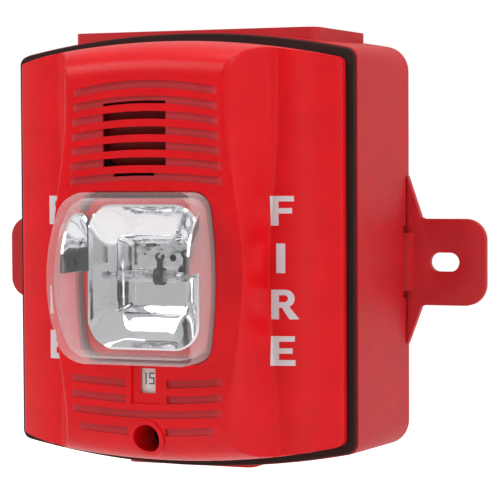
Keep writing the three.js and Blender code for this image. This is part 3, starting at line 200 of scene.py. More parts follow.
# ---------------------------------------------------------------- lens and strobe
LENS_FLANGE_SIDE = 2
LENS_FLANGE_END = 0.9
LENS_FLANGE_T = 1.7
LENS_HALF_W = LENS_HIGH.x - LENS_FLANGE_SIDE
LENS_HALF_W_END = 22.8
LENS_TOP = LENS_HIGH.z - LENS_FLANGE_END
LENS_BOTTOM = LENS_LOW.z + LENS_FLANGE_END
LENS_CORNER = 5.5
LENS_WALL = 1.8
LENS_DOME_DROP = 11
# The lens's and tube's bright edges are a painted reflection: a lit white layer mixed in by the angle of
# view.
LENS_EDGE_POWER = 2.6  # how closely the gloss keeps to the lens's edges
LENS_MID_Z = (LENS_TOP + LENS_BOTTOM) / 2
REFLECTOR_RIM_Y = PANEL_Y - 2.2
REFLECTOR_WALL = 0.9
BEZEL_FRONT = PANEL_Y + 1.4
BEZEL_T = 1.2
BEZEL_HOLE = (-18.9, 18.9, -30, 14.3)
BEZEL_HOLE_CORNER = 8
# Rings of the bowl from its rim to its floor: y, half width, top, bottom, corner
BOWL_RINGS = (
    (0, 19.4, 15.5, -31, 8),
    (0.9, 18.9, 15, -30.4, 8.5),
    (2.6, 17.9, 13.6, -29.2, 9.5),
    (4.6, 16.3, 11.5, -27, 9.5),
    (6.4, 14.4, 8.6, -24, 7),
    (7.6, 12.9, 5.9, -21, 3),
    (8.2, 12.6, 5.4, -20.4, 1.6),
    (14.6, 10.6, 3, -18, 1.4),
)
TUBE_Y = (TUBE_LOW.y + TUBE_HIGH.y) / 2
TUBE_Z = (TUBE_LOW.z + TUBE_HIGH.z) / 2
TUBE_R = (TUBE_HIGH.z - TUBE_LOW.z) / 2
TUBE_HALF_L = TUBE_HIGH.x
TUBE_WALL = 0.6
TUBE_END_WALL = 1.6
PIN_R, PIN_LENGTH = 0.24, 3.4
PIN_TIP_R = 0.85
BAND_X = (BAND_LOW.x + BAND_HIGH.x) / 2
BAND_HALF_W = 1.6
BAND_T = 0.7
EYE_ABOVE_TUBE = 6.4
EYE_R, EYE_HOLE_R = 1.5, 0.75
TRIGGER_LEAD_R = 0.42
LEG_R = 2
LEG_X, LEG_ABOVE_TUBE = 7, 12.5
LEAD_X, LEAD_HOLE_R = 14, 1.1
BAND_LEAD_ABOVE_TUBE, BAND_LEAD_HOLE_R = 5.6, 1.2
WING_TOP, WING_BOTTOM = 14, -6
WING_FRONT = REFLECTOR_RIM_Y - 14.5
WING_FOOT = REFLECTOR_RIM_Y + 1.2
WING_INNER_X, WING_T, WING_LEAN = 19.6, 0.8, 2.5

# ---------------------------------------------------------------- back box and ears
BOX_DRAFT = 1.7
BOX_DEPTH = -BOX_LOW.y
BOX_HALF_W = BOX_HIGH.x - BOX_DRAFT
BOX_HALF_H = 74.4
BOX_SAG = 6.9
BOX_WALL = 3
BOX_CORNER_FRONT = 4
BOX_CORNER_BACK = 9
BOX_FLOOR = 3
# Conduit pads: half width in front and at the wall, depth, corner
TOP_PAD = (45.6, 47.6, 43.7, 4)
BOTTOM_PAD = (23.6, 25.5, 48, 3)
PAD_ROOT = 12
CONDUIT_R = 10.6
CONDUIT_Y = -24
KNOCKOUT_IN, KNOCKOUT_OUT = 11, 12.2
KNOCKOUT_DEPTH = 1.6
KNOCKOUT_Z = 34
PLATE_POST_R = 4.5
PLATE_POST_HOLE = 1.5
PLATE_POST_FROM_SIDE = 7
PLATE_POST_FROM_TOP = 20
GASKET_BAND = 4.6
GASKET_ROUND = 0.5
EAR_TOP, EAR_BOTTOM = 9.8, -20.7
EAR_CORNER = 7.5
EAR_T = 3
EAR_ROUND = 0.55
EAR_GUSSET = 4.6
EAR_SLOT_LENGTH, EAR_SLOT_HEIGHT, EAR_SLOT_FROM_END = 10.8, 6.7, 14.9
EAR_SLOT_DEPTH = 6
EAR_SLOT_Z = (-18.3, 7.4)
TONGUE_T = 2.4
TONGUE_REACH = 3.6
TONGUE_INSET = 5
TONGUE_HOOK = 1.6

# ---------------------------------------------------------------- print
STRIP_NUMBERS = ("15", "30", "75", "110")
STRIP_CELL = 5.33
DIGIT_HEIGHT = 3.5
DIGIT_WIDTH = 1.5
DIGIT_GAP = 0.75
DIGIT_STROKE = 0.42
NUMBER_X = -0.1
NUMBER_Z = -41.5
INK_T = 0.05
# Strokes of each numeral in its unit cell: x0, x1, z0, z1 as shares of width and height
NUMERALS = {
    "0": ((0, 1, 0, 0), (0, 1, 1, 1), (0, 0, 0, 1), (1, 1, 0, 1)),
    "1": ((0.6, 0.6, 0, 1),),
    "3": ((0, 1, 0, 0), (0, 1, 1, 1), (0, 1, 0.5, 0.5), (1, 1, 0, 1)),
    "5": ((0, 1, 0, 0), (1, 1, 0, 0.55), (0, 1, 0.55, 0.55), (0, 0, 0.55, 1), (0, 1, 1, 1)),
    "7": ((0, 1, 1, 1), (1, 1, 0, 1)),
}

# Block letters as corner points of their outlines, in a cell of this width and height
LETTER_WIDTH = 8.1
LETTER_TALL = 9.8
ARMS = ((2.6, 4), (7, 4), (7, 5.8), (2.6, 5.8), (2.6, 8))
LETTERS = {
    "F": ((0, 0), (2.6, 0), *ARMS, (7.6, 8), (7.6, 9.8), (0, 9.8)),
    "I": ((1.8, 0), (4.7, 0), (4.7, 9.8), (1.8, 9.8)),
    "E": ((0, 0), (7.9, 0), (7.9, 1.9), (2.6, 1.9), *ARMS, (7.7, 8), (7.7, 9.8), (0, 9.8)),
}
LETTER_TOPS = (("F", 18.8), ("I", 3.1), ("R", -12.2), ("E", -27.6))
LETTER_MIDDLES = (("left", -40.7), ("right", 41.9))
LETTER_SLICES = 24
PRINT_T = 0.1
PRINT_SUNK = 0.3

# ---------------------------------------------------------------- stage
CAMERA_PLACE = (291.6, -714.8, 28.8)
CAMERA_AZIMUTH = 21.95
CAMERA_PITCH = 2.29
CAMERA_ROLL = -0.29
CAMERA_LENS = 151.66
FLOOR_DROP = 70  # floor below the lowest point of the object
ROOM_STRENGTH = 0.62
# Grey levels of the room from straight down to straight up, and from the front to the back
ROOM_BY_HEIGHT = ((0.0, 0.9), (0.4, 1.0), (0.5, 0.75), (0.6, 0.9), (1.0, 0.9))
ROOM_BY_DEPTH = ((0.0, 0.02), (0.1, 0.04), (0.18, 0.9), (0.5, 1.0), (1.0, 1.0))
LAMP_AIM = (0, -50, 0)
# Name, place, width, height and power
LAMPS = (
    ("key", (-520, -760, 620), 600, 600, 4.4),
    ("strip", (330, -640, 60), 36, 620, 0.4),
    ("side", (560, -120, 400), 300, 400, 1.3),
    ("top", (60, -60, 700), 400, 400, 1.4),
)


# ---------------------------------------------------------------- modelling helpers
def leave_edit_mode():
    if bpy.context.object and bpy.context.object.mode != "OBJECT":
        bpy.ops.object.mode_set(mode="OBJECT")


def take(obj):
    """Makes obj the only selected object and the active one."""
    leave_edit_mode()
    bpy.ops.object.select_all(action="DESELECT")
    obj.hide_set(False)
    obj.select_set(True)
    bpy.context.view_layer.objects.active = obj
    return obj


def start():
    """Leaves nothing selected, so that what is added next is all that is selected."""
    leave_edit_mode()
    bpy.ops.object.select_all(action="DESELECT")


def edit(obj, select="SELECT"):
    """Enters edit mode on obj, with all of it selected or nothing."""
    take(obj)
    bpy.ops.object.mode_set(mode="EDIT")
    bpy.ops.mesh.select_all(action=select)


def settle(name):
    """Names the new object and moves its place, turn and scale into its mesh."""
    obj = bpy.context.object
    obj.name = name
    obj.data.name = name
    take(obj)
    bpy.ops.object.transform_apply(location=True, rotation=True, scale=True)
    return obj


def block(name, x0, x1, y0, y1, z0, z1):
    """A box between two places along each axis."""
    start()
    middle = Vector((x0 + x1, y0 + y1, z0 + z1)) * MM / 2
    bpy.ops.mesh.primitive_cube_add(size=1, location=middle)
    bpy.context.object.scale = Vector((x1 - x0, y1 - y0, z1 - z0)) * MM
    return settle(name)


def bar(name, radius, begin, end, sides=48):
    """A round bar between two points."""
    start()
    begin, end = Vector(begin) * MM, Vector(end) * MM
    along = end - begin
    bpy.ops.mesh.primitive_cylinder_add(
        vertices=sides,
        radius=radius * MM,
        depth=along.length,
        location=(begin + end) / 2,
        rotation=along.to_track_quat("Z", "Y").to_euler(),
    )
    return settle(name)


def loft(name, rings):
    """A closed skin through rings of equally many points: a face drawn out from ring to ring."""
    start()
    bpy.ops.mesh.primitive_circle_add(vertices=len(rings[0]), fill_type="NGON")
    obj = settle(name)
    edit(obj)
    bpy.ops.mesh.select_mode(type="FACE")
    for i, ring in enumerate(rings):
        if i:
            bpy.ops.mesh.extrude_region_move()
        drawn = bmesh.from_edit_mesh(obj.data)
        front = next(face for face in drawn.faces if face.select)
        for vertex, point in zip(front.verts, ring):
            vertex.co = Vector(point) * MM
        bmesh.update_edit_mesh(obj.data)
    bpy.ops.mesh.select_all(action="SELECT")
    bpy.ops.mesh.normals_make_consistent(inside=False)
    leave_edit_mode()
    return obj


def plate(name, outline, y0, y1):
    """An outline in X and Z pushed along Y."""
    return loft(name, [[(x, y, z) for x, z in outline] for y in (y0, y1)])


def modify(obj, kind, **settings):
    """Adds a modifier and applies it at once."""
    take(obj)
    modifier = obj.modifiers.new(kind.title(), kind)
    for key, value in settings.items():
        setattr(modifier, key, value)
    bpy.ops.object.modifier_apply(modifier=modifier.name)
    return obj


def combine(obj, tool, operation):
    """Joins, cuts or intersects obj with a tool, which is used up."""
    painted_tool = {"material_mode": "TRANSFER"} if tool.data.materials else {}
    modify(obj, "BOOLEAN", object=tool, operation=operation, solver="EXACT", **painted_tool)
    bpy.data.objects.remove(tool)
    return obj


def cut(obj, *tools):
    """Takes each tool's shape out of obj."""
    for tool in tools:
        combine(obj, tool, "DIFFERENCE")
    return obj


def add(obj, *tools):
    """Joins each tool's shape to obj."""
    for tool in tools:
        combine(obj, tool, "UNION")
    return obj


def soften(obj, width, segments=3, angle=35):
    """Rounds the edges that are sharper than angle."""
    return modify(
        obj,
        "BEVEL",
        width=width * MM,
        segments=segments,
        limit_method="ANGLE",
        angle_limit=math.radians(angle),
    )


def painted(tool, slot):
    """A cutter that leaves its own finish on the faces it cuts."""
    tool.data.materials.append(material(slot))
    return tool


def gather(name, objects):
    """One object from several that don't touch."""
    start()
    for obj in objects:
        obj.select_set(True)
    bpy.context.view_layer.objects.active = objects[0]
    bpy.ops.object.join()
    objects[0].name = name
    objects[0].data.name = name
    return objects[0]


def finish(obj, paint, body, slot, *nodes, angle=32):
    """Smooths and paints a piece, says which body it belongs to and hides the CAD nodes it stands for; slot
    is not used.
    """
    take(obj)
    bpy.ops.object.shade_smooth_by_angle(angle=math.radians(angle))
    if paint:
        obj.data.materials.clear()
        obj.data.materials.append(paint)
    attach(obj, body)
    if nodes:
        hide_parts(*nodes)
    return obj


def dress(node, name, paint, slot, edge):
    """A finished copy of a CAD node: merged, its flat faces joined and its edges rounded."""
    source = frame["nodes"][node]
    obj = bpy.data.objects.new(name, source.data.copy())
    bpy.context.scene.collection.objects.link(obj)
    obj.data.name = name
    edit(obj)
    bpy.ops.mesh.remove_doubles(threshold=0.002 * MM)
    bpy.ops.mesh.dissolve_limited(angle_limit=math.radians(0.4))
    leave_edit_mode()
    if obj.data.has_custom_normals:
        bpy.ops.mesh.customdata_custom_splitnormals_clear()
    soften(obj, edge, 2, 38)
    return finish(obj, paint, source["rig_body"], slot, node, angle=38)


# ---------------------------------------------------------------- outlines
def arch_of(half_w, half_h, sag, corner):
    """An outline with an arched top: where its corner rounds sit and where they meet the arch."""
    radius = (half_w * half_w + sag * sag) / (2 * sag)
    corner_x = half_w - corner
    corner_z = half_h - radius + math.sqrt((radius - corner) ** 2 - corner_x**2)
    meet = math.acos(corner_x / (radius - corner))
    return half_w, half_h, radius, corner, corner_x, corner_z, meet


def half_height_at(arch, x):
    """Half height of an arched outline at a place along its width."""
    half_w, half_h, radius, corner, corner_x, corner_z, meet = arch
    u = min(abs(x), half_w)
    if u <= radius * math.cos(meet):
        return half_h - radius + math.sqrt(radius**2 - u * u)
    return corner_z + math.sqrt(max(0.0, corner**2 - (u - corner_x) ** 2))


def arc(middle_x, middle_z, radius, begin, end, steps):
    """Points on a round stretch, both ends included."""
    points = []
    for i in range(steps + 1):
        turn = begin + (end - begin) * i / steps
        points.append((middle_x + radius * math.cos(turn), middle_z + radius * math.sin(turn)))
    return points


def arch_outline(half_w, half_h, sag, corner):
    """The points of an outline whose top and bottom are arched."""
    _, _, radius, _, corner_x, corner_z, meet = arch_of(half_w, half_h, sag, corner)
    top = arc(corner_x, corner_z, corner, 0, meet, 8)
    top += arc(0, half_h - radius, radius, meet, math.pi - meet, 40)[1:]
    top += arc(-corner_x, corner_z, corner, math.pi - meet, math.pi, 8)[1:]
    return top + [(-x, -z) for x, z in top]


def round_rect(x0, x1, z0, z1, corner, steps=8):
    """The points of a rectangle with round corners."""
    points = []
    middles = ((x1, z1, -1, -1), (x0, z1, 1, -1), (x0, z0, 1, 1), (x1, z0, -1, 1))
    for quarter, (x, z, side, up) in enumerate(middles):
        begin = quarter * math.pi / 2
        points += arc(x + side * corner, z + up * corner, corner, begin, begin + math.pi / 2, steps)
    return points


# ---------------------------------------------------------------- cover surface
def soft_min(a, b, k):
    """The lower of two values, blended over a width of k where they meet."""
    h = max(k - abs(a - b), 0) / k
    return min(a, b) - h * h * k / 4


def soft_max(a, b, k):
    """The higher of two values, blended over a width of k where they meet."""
    return -soft_min(-a, -b, k)


def ridge_bulge(z):
    """Share of the middle panel's swelling at a height."""
    return math.cos(min(1, abs(z - RIDGE_BULGE_Z) / RIDGE_BULGE_REACH) * math.pi / 2) ** 2


def ridge_at(z):
    """Half width of the middle panel."""
    return RIDGE_HALF_W + RIDGE_BULGE * ridge_bulge(z)


def foot_at(z):
    """Half width at the foot of the panel's side walls."""
    return ridge_at(z) + WALL_RUN_END - (WALL_RUN_END - WALL_RUN_MIDDLE) * ridge_bulge(z)


def cover_rise(x, z, edge_z, inset):
    """How far the cover stands before its rim, on a skin set in by inset."""
    u = abs(x)
    ridge = ridge_at(z) - inset
    foot = foot_at(z) - inset
    edge = COVER_HALF_W - inset
    slope = (PANEL_RISE - FLANK_RISE) / (foot - ridge)
    wall = PANEL_RISE - (u - ridge) * slope
    along = min(1, max(0, (u - foot) / (edge - foot)))
    flank = FLANK_RISE - (FLANK_RISE - EDGE_RISE) * along**FLANK_CURVE
    front = soft_max(soft_min(PANEL_RISE, wall, RIDGE_BLEND), flank, FOOT_BLEND)
    near = min(1, max(0, 1 - (edge_z - abs(z)) / (ROLL_TOP if z > 0 else ROLL_BOTTOM)))
    roll = ROLL_RISE + (PANEL_RISE - ROLL_RISE) * (1 - near**ROLL_POWER) ** (1 / ROLL_POWER)
    past = max(0, u - (edge - EDGE_ROUND))
    drop = EDGE_ROUND - math.sqrt(max(0, EDGE_ROUND**2 - past**2))
    return min(front, roll) - drop - inset


def cover_column(step, z, inset):
    """Place along X of a column, counted out from the middle."""
    side = -1 if step < 0 else 1
    step = abs(step)
    anchors = (0, ridge_at(z), foot_at(z), COVER_HALF_W, COVER_HALF_W)
    stops = [(0, 0)]
    for (n, offset), anchor in zip(GRID_COLUMNS[1:], anchors[1:]):
        stops.append((n, anchor + offset - inset))
    for (n0, x0), (n1, x1) in zip(stops, stops[1:]):
        if step <= n1:
            share = (step - n0) / (n1 - n0)
            if n1 == stops[-1][0]:
                share = math.sin(share * math.pi / 2)
            return side * (x0 + (x1 - x0) * share)
    raise ValueError("column past the cover's edge")


def cover_row(step, edge_z):
    """Place along Z of a row, counted from the bottom."""
    last = 2 * ROWS_ROLL + ROWS_MIDDLE
    if step <= ROWS_ROLL:
        return -edge_z + ROLL_BOTTOM * (step / ROWS_ROLL) ** 2.2
    if step >= last - ROWS_ROLL:
        return edge_z - ROLL_TOP * ((last - step) / ROWS_ROLL) ** 2.2
    low, high = -edge_z + ROLL_BOTTOM, edge_z - ROLL_TOP
    return low + (high - low) * (step - ROWS_ROLL) / ROWS_MIDDLE


def cover_skin(name, inset, rim_y):
    """The cover's surface as a grid, with its edge drawn back to rim_y."""
    start()
    half = GRID_COLUMNS[-1][0]
    rows = 2 * ROWS_ROLL + ROWS_MIDDLE
    bpy.ops.mesh.primitive_grid_add(x_subdivisions=2 * half, y_subdivisions=rows, size=2)
    obj = settle(name)
    corner = max(COVER_CORNER - inset, 1)
    arch = arch_of(COVER_HALF_W - inset, COVER_HALF_H - inset, COVER_SAG, corner)
    for vertex in obj.data.vertices:
        column = round(vertex.co.x * half)
        row = round((vertex.co.y + 1) / 2 * rows)
        x = cover_column(column, cover_row(row, arch[1]), inset)
        edge_z = half_height_at(arch, x)
        z = cover_row(row, edge_z)
        vertex.co = Vector((x, COVER_Y - cover_rise(x, z, edge_z, inset), z)) * MM
    edit(obj, "DESELECT")
    bpy.ops.mesh.select_mode(type="EDGE")
    bpy.ops.mesh.select_non_manifold(extend=False)
    bpy.ops.mesh.extrude_edges_move()
    drawn = bmesh.from_edit_mesh(obj.data)
    for vertex in drawn.verts:
        if vertex.select:
            vertex.co.y = rim_y * MM
    bmesh.update_edit_mesh(obj.data)
    leave_edit_mode()
    return obj


def cover_solid(name, inset, back_y):
    """The cover's skin closed by a flat back."""
    obj = cover_skin(name, inset, back_y)
    edit(obj, "DESELECT")
    bpy.ops.mesh.select_mode(type="EDGE")
    bpy.ops.mesh.select_non_manifold(extend=False)
    bpy.ops.mesh.edge_face_add()
    bpy.ops.mesh.select_all(action="SELECT")
    bpy.ops.mesh.normals_make_consistent(inside=False)
    leave_edit_mode()
    return obj


def lens_outline(grow, grow_end=None):
    """Outline of the lens: straight ends, sides that swell towards the middle."""
    grow_end = grow if grow_end is None else grow_end
    corner = LENS_CORNER + min(grow, 0) * 0.5
    half_l = (LENS_TOP - LENS_BOTTOM) / 2 + grow_end
    half_w = LENS_HALF_W_END + grow
    plain = round_rect(-half_w, half_w, LENS_MID_Z - half_l, LENS_MID_Z + half_l, corner)
    points = []
    for i, (x, z) in enumerate(plain):
        points.append((x, z))
        next_x, next_z = plain[(i + 1) % len(plain)]
        if abs(next_x - x) < 1e-6 and abs(next_z - z) > corner:
            points += [(x, z + (next_z - z) * s / 24) for s in range(1, 24)]
    swelled = []
    for x, z in points:
        side = math.copysign(min(1, abs(x) / (half_w - corner)), x)
        swell = 1 - ((z - LENS_MID_Z) / half_l) ** 2
        swelled.append((x + side * (LENS_HALF_W - LENS_HALF_W_END) * swell, z))
    return swelled


# ---------------------------------------------------------------- louvres
def groove(name, z, x0, x1, rise, reach, floor, fade_left, fade_right, share=1):
    """A cutter for one arched groove, its floor rising to nothing at an end that fades."""
    start()
    bpy.ops.mesh.primitive_grid_add(x_subdivisions=36, y_subdivisions=1, size=2)
    obj = settle(name)
    edit(obj)
    bpy.ops.mesh.extrude_region_move(TRANSFORM_OT_translate={"value": (0, 0, -1)})
    leave_edit_mode()
    for vertex in obj.data.vertices:
        x = x0 + (x1 - x0) * (vertex.co.x + 1) / 2
        height = vertex.co.y * LOUVRE_HEIGHT / 2 * share
        y = PANEL_Y - 1.5
        if vertex.co.z < -0.5:
            left = (x - x0) / LOUVRE_FADE if fade_left else 1
            right = (x1 - x) / LOUVRE_FADE if fade_right else 1
            deep = min(1, left, right)
            y = PANEL_Y - 0.25 + (floor + 0.25) * deep * (2 - deep)
        vertex.co = Vector((x, y, z - rise * (x / reach) ** 2 + height)) * MM
    edit(obj)
    bpy.ops.mesh.normals_make_consistent(inside=False)
    leave_edit_mode()
    return obj


def louvre_grooves(depth):
    """Cutters for all the grooves, those beside the window and the well in two halves."""
    made = []
    for k in range(UPPER_ROWS):
        z = UPPER_TOP_Z - k * LOUVRE_PITCH
        reach = UPPER_HALF_W + k * UPPER_GROW
        rise = UPPER_RISE - k * UPPER_RISE_STEP
        made.append(groove("groove", z, -reach, reach, rise, reach, depth, True, True))
    for z, begin, end in LOWER_ROWS:
        shape = (-LOWER_RISE, UPPER_HALF_W, depth)
        if begin:
            made.append(groove("groove", z, begin, end, *shape, False, True))
            made.append(groove("groove", z, -end, -begin, *shape, True, False))
        else:
            made.append(groove("groove", z, -end, end, *shape, True, True))
    return gather("grooves", made)


def horn_ports():
    """Cutters for the louvres that open into the horn, the end rows only by a thin strip."""
    through = COVER_WALL + 1
    made = []
    for k, left, right, share, shift in PORTS:
        z = UPPER_TOP_Z - k * LOUVRE_PITCH + shift
        reach = UPPER_HALF_W + k * UPPER_GROW
        rise = UPPER_RISE - k * UPPER_RISE_STEP
        made.append(groove("port", z, left, right, rise, reach, through, False, False, share))
    return gather("ports", made)


# ---------------------------------------------------------------- materials
class Finish:
    """A procedural material on one Principled shader, with its noises in features per millimetre."""

    def __init__(self, name, colour, **values):
        self.material = bpy.data.materials.new(name)
        self.material.use_nodes = True
        self.tree = self.material.node_tree
        self.shader = self.tree.nodes["Principled BSDF"]
        self.colour = tuple(colour)
        self.shader.inputs["Base Color"].default_value = (*self.colour, 1)
        for socket, value in values.items():
            title = socket.replace("_", " ").title().replace("Ior", "IOR")
            self.shader.inputs[title].default_value = value
        self.height = None

    def node(self, kind, **settings):
        made = self.tree.nodes.new(kind)
        for key, value in settings.items():
            setattr(made, key, value)
        return made

    def join(self, output, node, socket):
        self.tree.links.new(output, node.inputs[socket])

    def place(self, stretch=(1, 1, 1)):
        """Object coordinates in millimetres, stretched along an axis where asked."""
        mapping = self.node("ShaderNodeMapping")
        mapping.inputs["Scale"].default_value = [s / MM for s in stretch]
        self.join(self.node("ShaderNodeTexCoord").outputs["Object"], mapping, "Vector")
        return mapping.outputs["Vector"]

    def noise(self, scale, detail=2.0, roughness=0.5, stretch=(1, 1, 1)):
        made = self.node("ShaderNodeTexNoise")
        made.inputs["Scale"].default_value = scale
        made.inputs["Detail"].default_value = detail
        made.inputs["Roughness"].default_value = roughness
        self.join(self.place(stretch), made, "Vector")
        return made.outputs["Fac"]

    def span(self, output, low, high, begin=0.3, end=0.7):
        """The output's middle range spread from low to high."""
        made = self.node("ShaderNodeMapRange")
        for socket, value in (("From Min", begin), ("From Max", end), ("To Min", low), ("To Max", high)):
            made.inputs[socket].default_value = value
        self.join(output, made, "Value")
        return made.outputs["Result"]

    def vary(self, output, amount):
        """Base colour from darker to lighter along the output."""
        ramp = self.node("ShaderNodeValToRGB")
        dark = tuple(c * (1 - amount) for c in self.colour)
        light = tuple(min(1, c * (1 + amount)) for c in self.colour)
        stops = ((0.3, dark), (0.7, light))
        for element, (place, colour) in zip(ramp.color_ramp.elements, stops):
            element.position = place
            element.color = (*colour, 1)
        self.join(output, ramp, "Fac")
        self.join(ramp.outputs["Color"], self.shader, "Base Color")
        return self

    def rough(self, output, low, high):
        """Roughness from low to high along the output."""
        self.join(self.span(output, low, high), self.shader, "Roughness")
        return self

    def bump(self, output, distance, strength=1.0):
        """Adds a relief of the given height in millimetres."""
        made = self.node("ShaderNodeBump")
        made.inputs["Distance"].default_value = distance * MM
        made.inputs["Strength"].default_value = strength
        self.join(output, made, "Height")
        if self.height:
            self.join(self.height, made, "Normal")
        self.height = made.outputs["Normal"]
        self.join(self.height, self.shader, "Normal")
        return self


def moulded(name, colour, roughness, grain, mottle=0.06, specular=0.5):
    """Moulded plastic with a fine spark-eroded grain."""
    made = Finish(name, colour, roughness=roughness, specular_ior_level=specular)
    made.vary(made.noise(0.09, 3), mottle)
    made.rough(made.noise(0.9, 2), roughness - 0.05, roughness + 0.06)
    made.bump(made.noise(1.7, 3, 0.6), grain)
    return made.material


def cast_metal(name, colour, roughness):
    """Plated metal, slightly uneven in shade and gloss."""
    made = Finish(name, colour, roughness=roughness, metallic=1.0)
    made.vary(made.noise(0.5, 4, 0.6), 0.14)
    made.rough(made.noise(1.2, 3, 0.6), roughness - 0.08, roughness + 0.14)
    made.bump(made.noise(2.4, 2, 0.5), 0.01)
    return made.material


def clear_plastic(name, gloss, tint, least=0.03):
    """Clear plastic or glass, seen straight through, with a lit white layer mixed in more towards its
    edges: a painted reflection.
    """
    made = Finish(name, (1, 1, 1), roughness=0.03)
    made.rough(made.noise(0.2, 2), 0.01, 0.05)
    made.bump(made.noise(0.12, 1), 0.02, 0.4)
    through = made.node("ShaderNodeBsdfTransparent")
    through.inputs["Color"].default_value = (*tint, 1)
    edge = made.node("ShaderNodeLayerWeight")
    edge.inputs["Blend"].default_value = 0.5
    curve = made.node("ShaderNodeMath", operation="POWER")
    curve.inputs[1].default_value = LENS_EDGE_POWER
    made.join(edge.outputs["Facing"], curve, 0)
    share = made.node("ShaderNodeMapRange")
    share.inputs["To Min"].default_value = least
    share.inputs["To Max"].default_value = gloss
    made.join(curve.outputs["Value"], share, "Value")
    both = made.node("ShaderNodeMixShader")
    made.join(share.outputs["Result"], both, "Fac")
    made.join(through.outputs["BSDF"], both, 1)
    made.join(made.shader.outputs["BSDF"], both, 2)
    made.join(both.outputs["Shader"], made.tree.nodes["Material Output"], "Surface")
    return made.material


def mirror(name):
    """Vacuum-plated plastic: bright, with the slight ripple of the moulding under it."""
    made = Finish(name, (0.92, 0.93, 0.95), roughness=0.05, metallic=1.0)
    made.rough(made.noise(0.35, 3), 0.02, 0.09)
    made.bump(made.noise(0.16, 2), 0.08, 0.6)
    return made.material


def circuit_green(name):
    """Green board lacquer over uneven laminate."""
    made = Finish(name, linear("1f6b43"), roughness=0.4)
    made.vary(made.noise(0.35, 1, 0.5, (1, 1, 4)), 0.25)
    made.bump(made.noise(0.5, 2), 0.03)
    return made.material


def winding(name):
    """Enamelled wire in close turns along Y."""
    made = Finish(name, linear("b4652f"), roughness=0.35, metallic=0.9)
    wave = made.node("ShaderNodeTexWave", bands_direction="Y")
    wave.inputs["Scale"].default_value = 0.55
    made.join(made.place(), wave, "Vector")
    made.vary(wave.outputs["Fac"], 0.35)
    made.bump(wave.outputs["Fac"], 0.12)
    return made.material


def make_materials(paint):
    """Every finish by its slot's name."""
    return {
        "cover_red": moulded("cover_red", paint.cover, 0.34, 0.045, 0.06, 0.28),
        # The groove faces take a duller, darker red than the cover: painted shade in the louvres' recesses.
        "louvre_shade_red": moulded("louvre_shade_red", paint.louvre, 0.62, 0.03),
        # Dark red for the baffle in the horn's mouth: painted shade inside the horn.
        "horn_shade_red": moulded("horn_shade_red", linear("8c0a10"), 0.6, 0.03),
        "box_red": moulded("box_red", paint.box, 0.5, 0.05),
        "gasket_rubber": moulded("gasket_rubber", paint.gasket, 0.75, 0.03, 0.15, 0.3),
        "black_plastic": moulded("black_plastic", linear("202024"), 0.5, 0.015, 0.12),
        "plate_grey": moulded("plate_grey", linear("8d9094"), 0.5, 0.02),
        "white_plastic": moulded("white_plastic", linear("f0f0ea"), 0.42, 0.006, 0.03),
        "lettering": moulded("lettering", paint.letters, 0.5, 0.008, 0.03),
        "zinc_steel": cast_metal("zinc_steel", linear("b8babd"), 0.32),
        "brass": cast_metal("brass", linear("c7a45a"), 0.3),
        "mirror_chrome": mirror("mirror_chrome"),
        "board_green": circuit_green("board_green"),
        "copper_wire": winding("copper_wire"),
        "capacitor_sleeve": moulded("capacitor_sleeve", linear("20242c"), 0.3, 0.006),
        "lens_clear": clear_plastic("lens_clear", 0.85, (0.99, 0.99, 0.99), 0.035),
        # Whiter mix for the lens's rounded edges: painted highlight.
        "lens_edge_highlight": clear_plastic("lens_edge_highlight", 0.9, (0.95, 0.95, 0.96), 0.55),
        "tube_glass": clear_plastic("tube_glass", 0.9, (0.97, 0.97, 0.98), 0.1),
        "ink": moulded("ink", linear("30323a"), 0.5, 0.004, 0.03),
    }


MATERIALS = {}


def material(slot):
    """The finish of a slot, made with the colours set when it's first asked for."""
    if not MATERIALS:
        MATERIALS.update(make_materials(bpy.context.scene.strobe_colours))
    return MATERIALS[slot]


# ---------------------------------------------------------------- what a user would change
def colour_property(name, description, code):
    return FloatVectorProperty(
        name=name, description=description, subtype="COLOR", size=3, min=0, max=1, default=linear(code)
    )


def length_property(name, description, millimetres):
    return FloatProperty(
        name=name, description=description, unit="LENGTH", precision=5, min=0, default=millimetres * MM
    )


class StrobeColours(bpy.types.PropertyGroup):
    """Colours of the red mouldings, the gasket and the print"""

    cover: colour_property("Cover", "Moulded red of the front cover", "e30a16")
    # The louvre floor red is darker and duller than the cover: painted shade for the grooves.
    louvre: colour_property("Louvre floor", "Duller red at the bottom of the louvres", "cc2a32")
    box: colour_property("Box", "Moulded red of the back box and its ears", "c8141c")
    gasket: colour_property("Gasket", "Rubber between the cover and the box", "2a1613")
    letters: colour_property("Lettering", "Print on the cover's flanks", "dcd8dc")


class StrobeSizes(bpy.types.PropertyGroup):
    """Sizes that can change without the CAD frame"""

    louvre_depth: length_property("Louvre depth", "Depth of the louvre grooves", 1.2)
    edge_softness: length_property("Edge softness", "Round on the box's moulded edges", 0.5)
    letter_height: length_property("Letter height", "Height of the printed letters", LETTER_TALL)


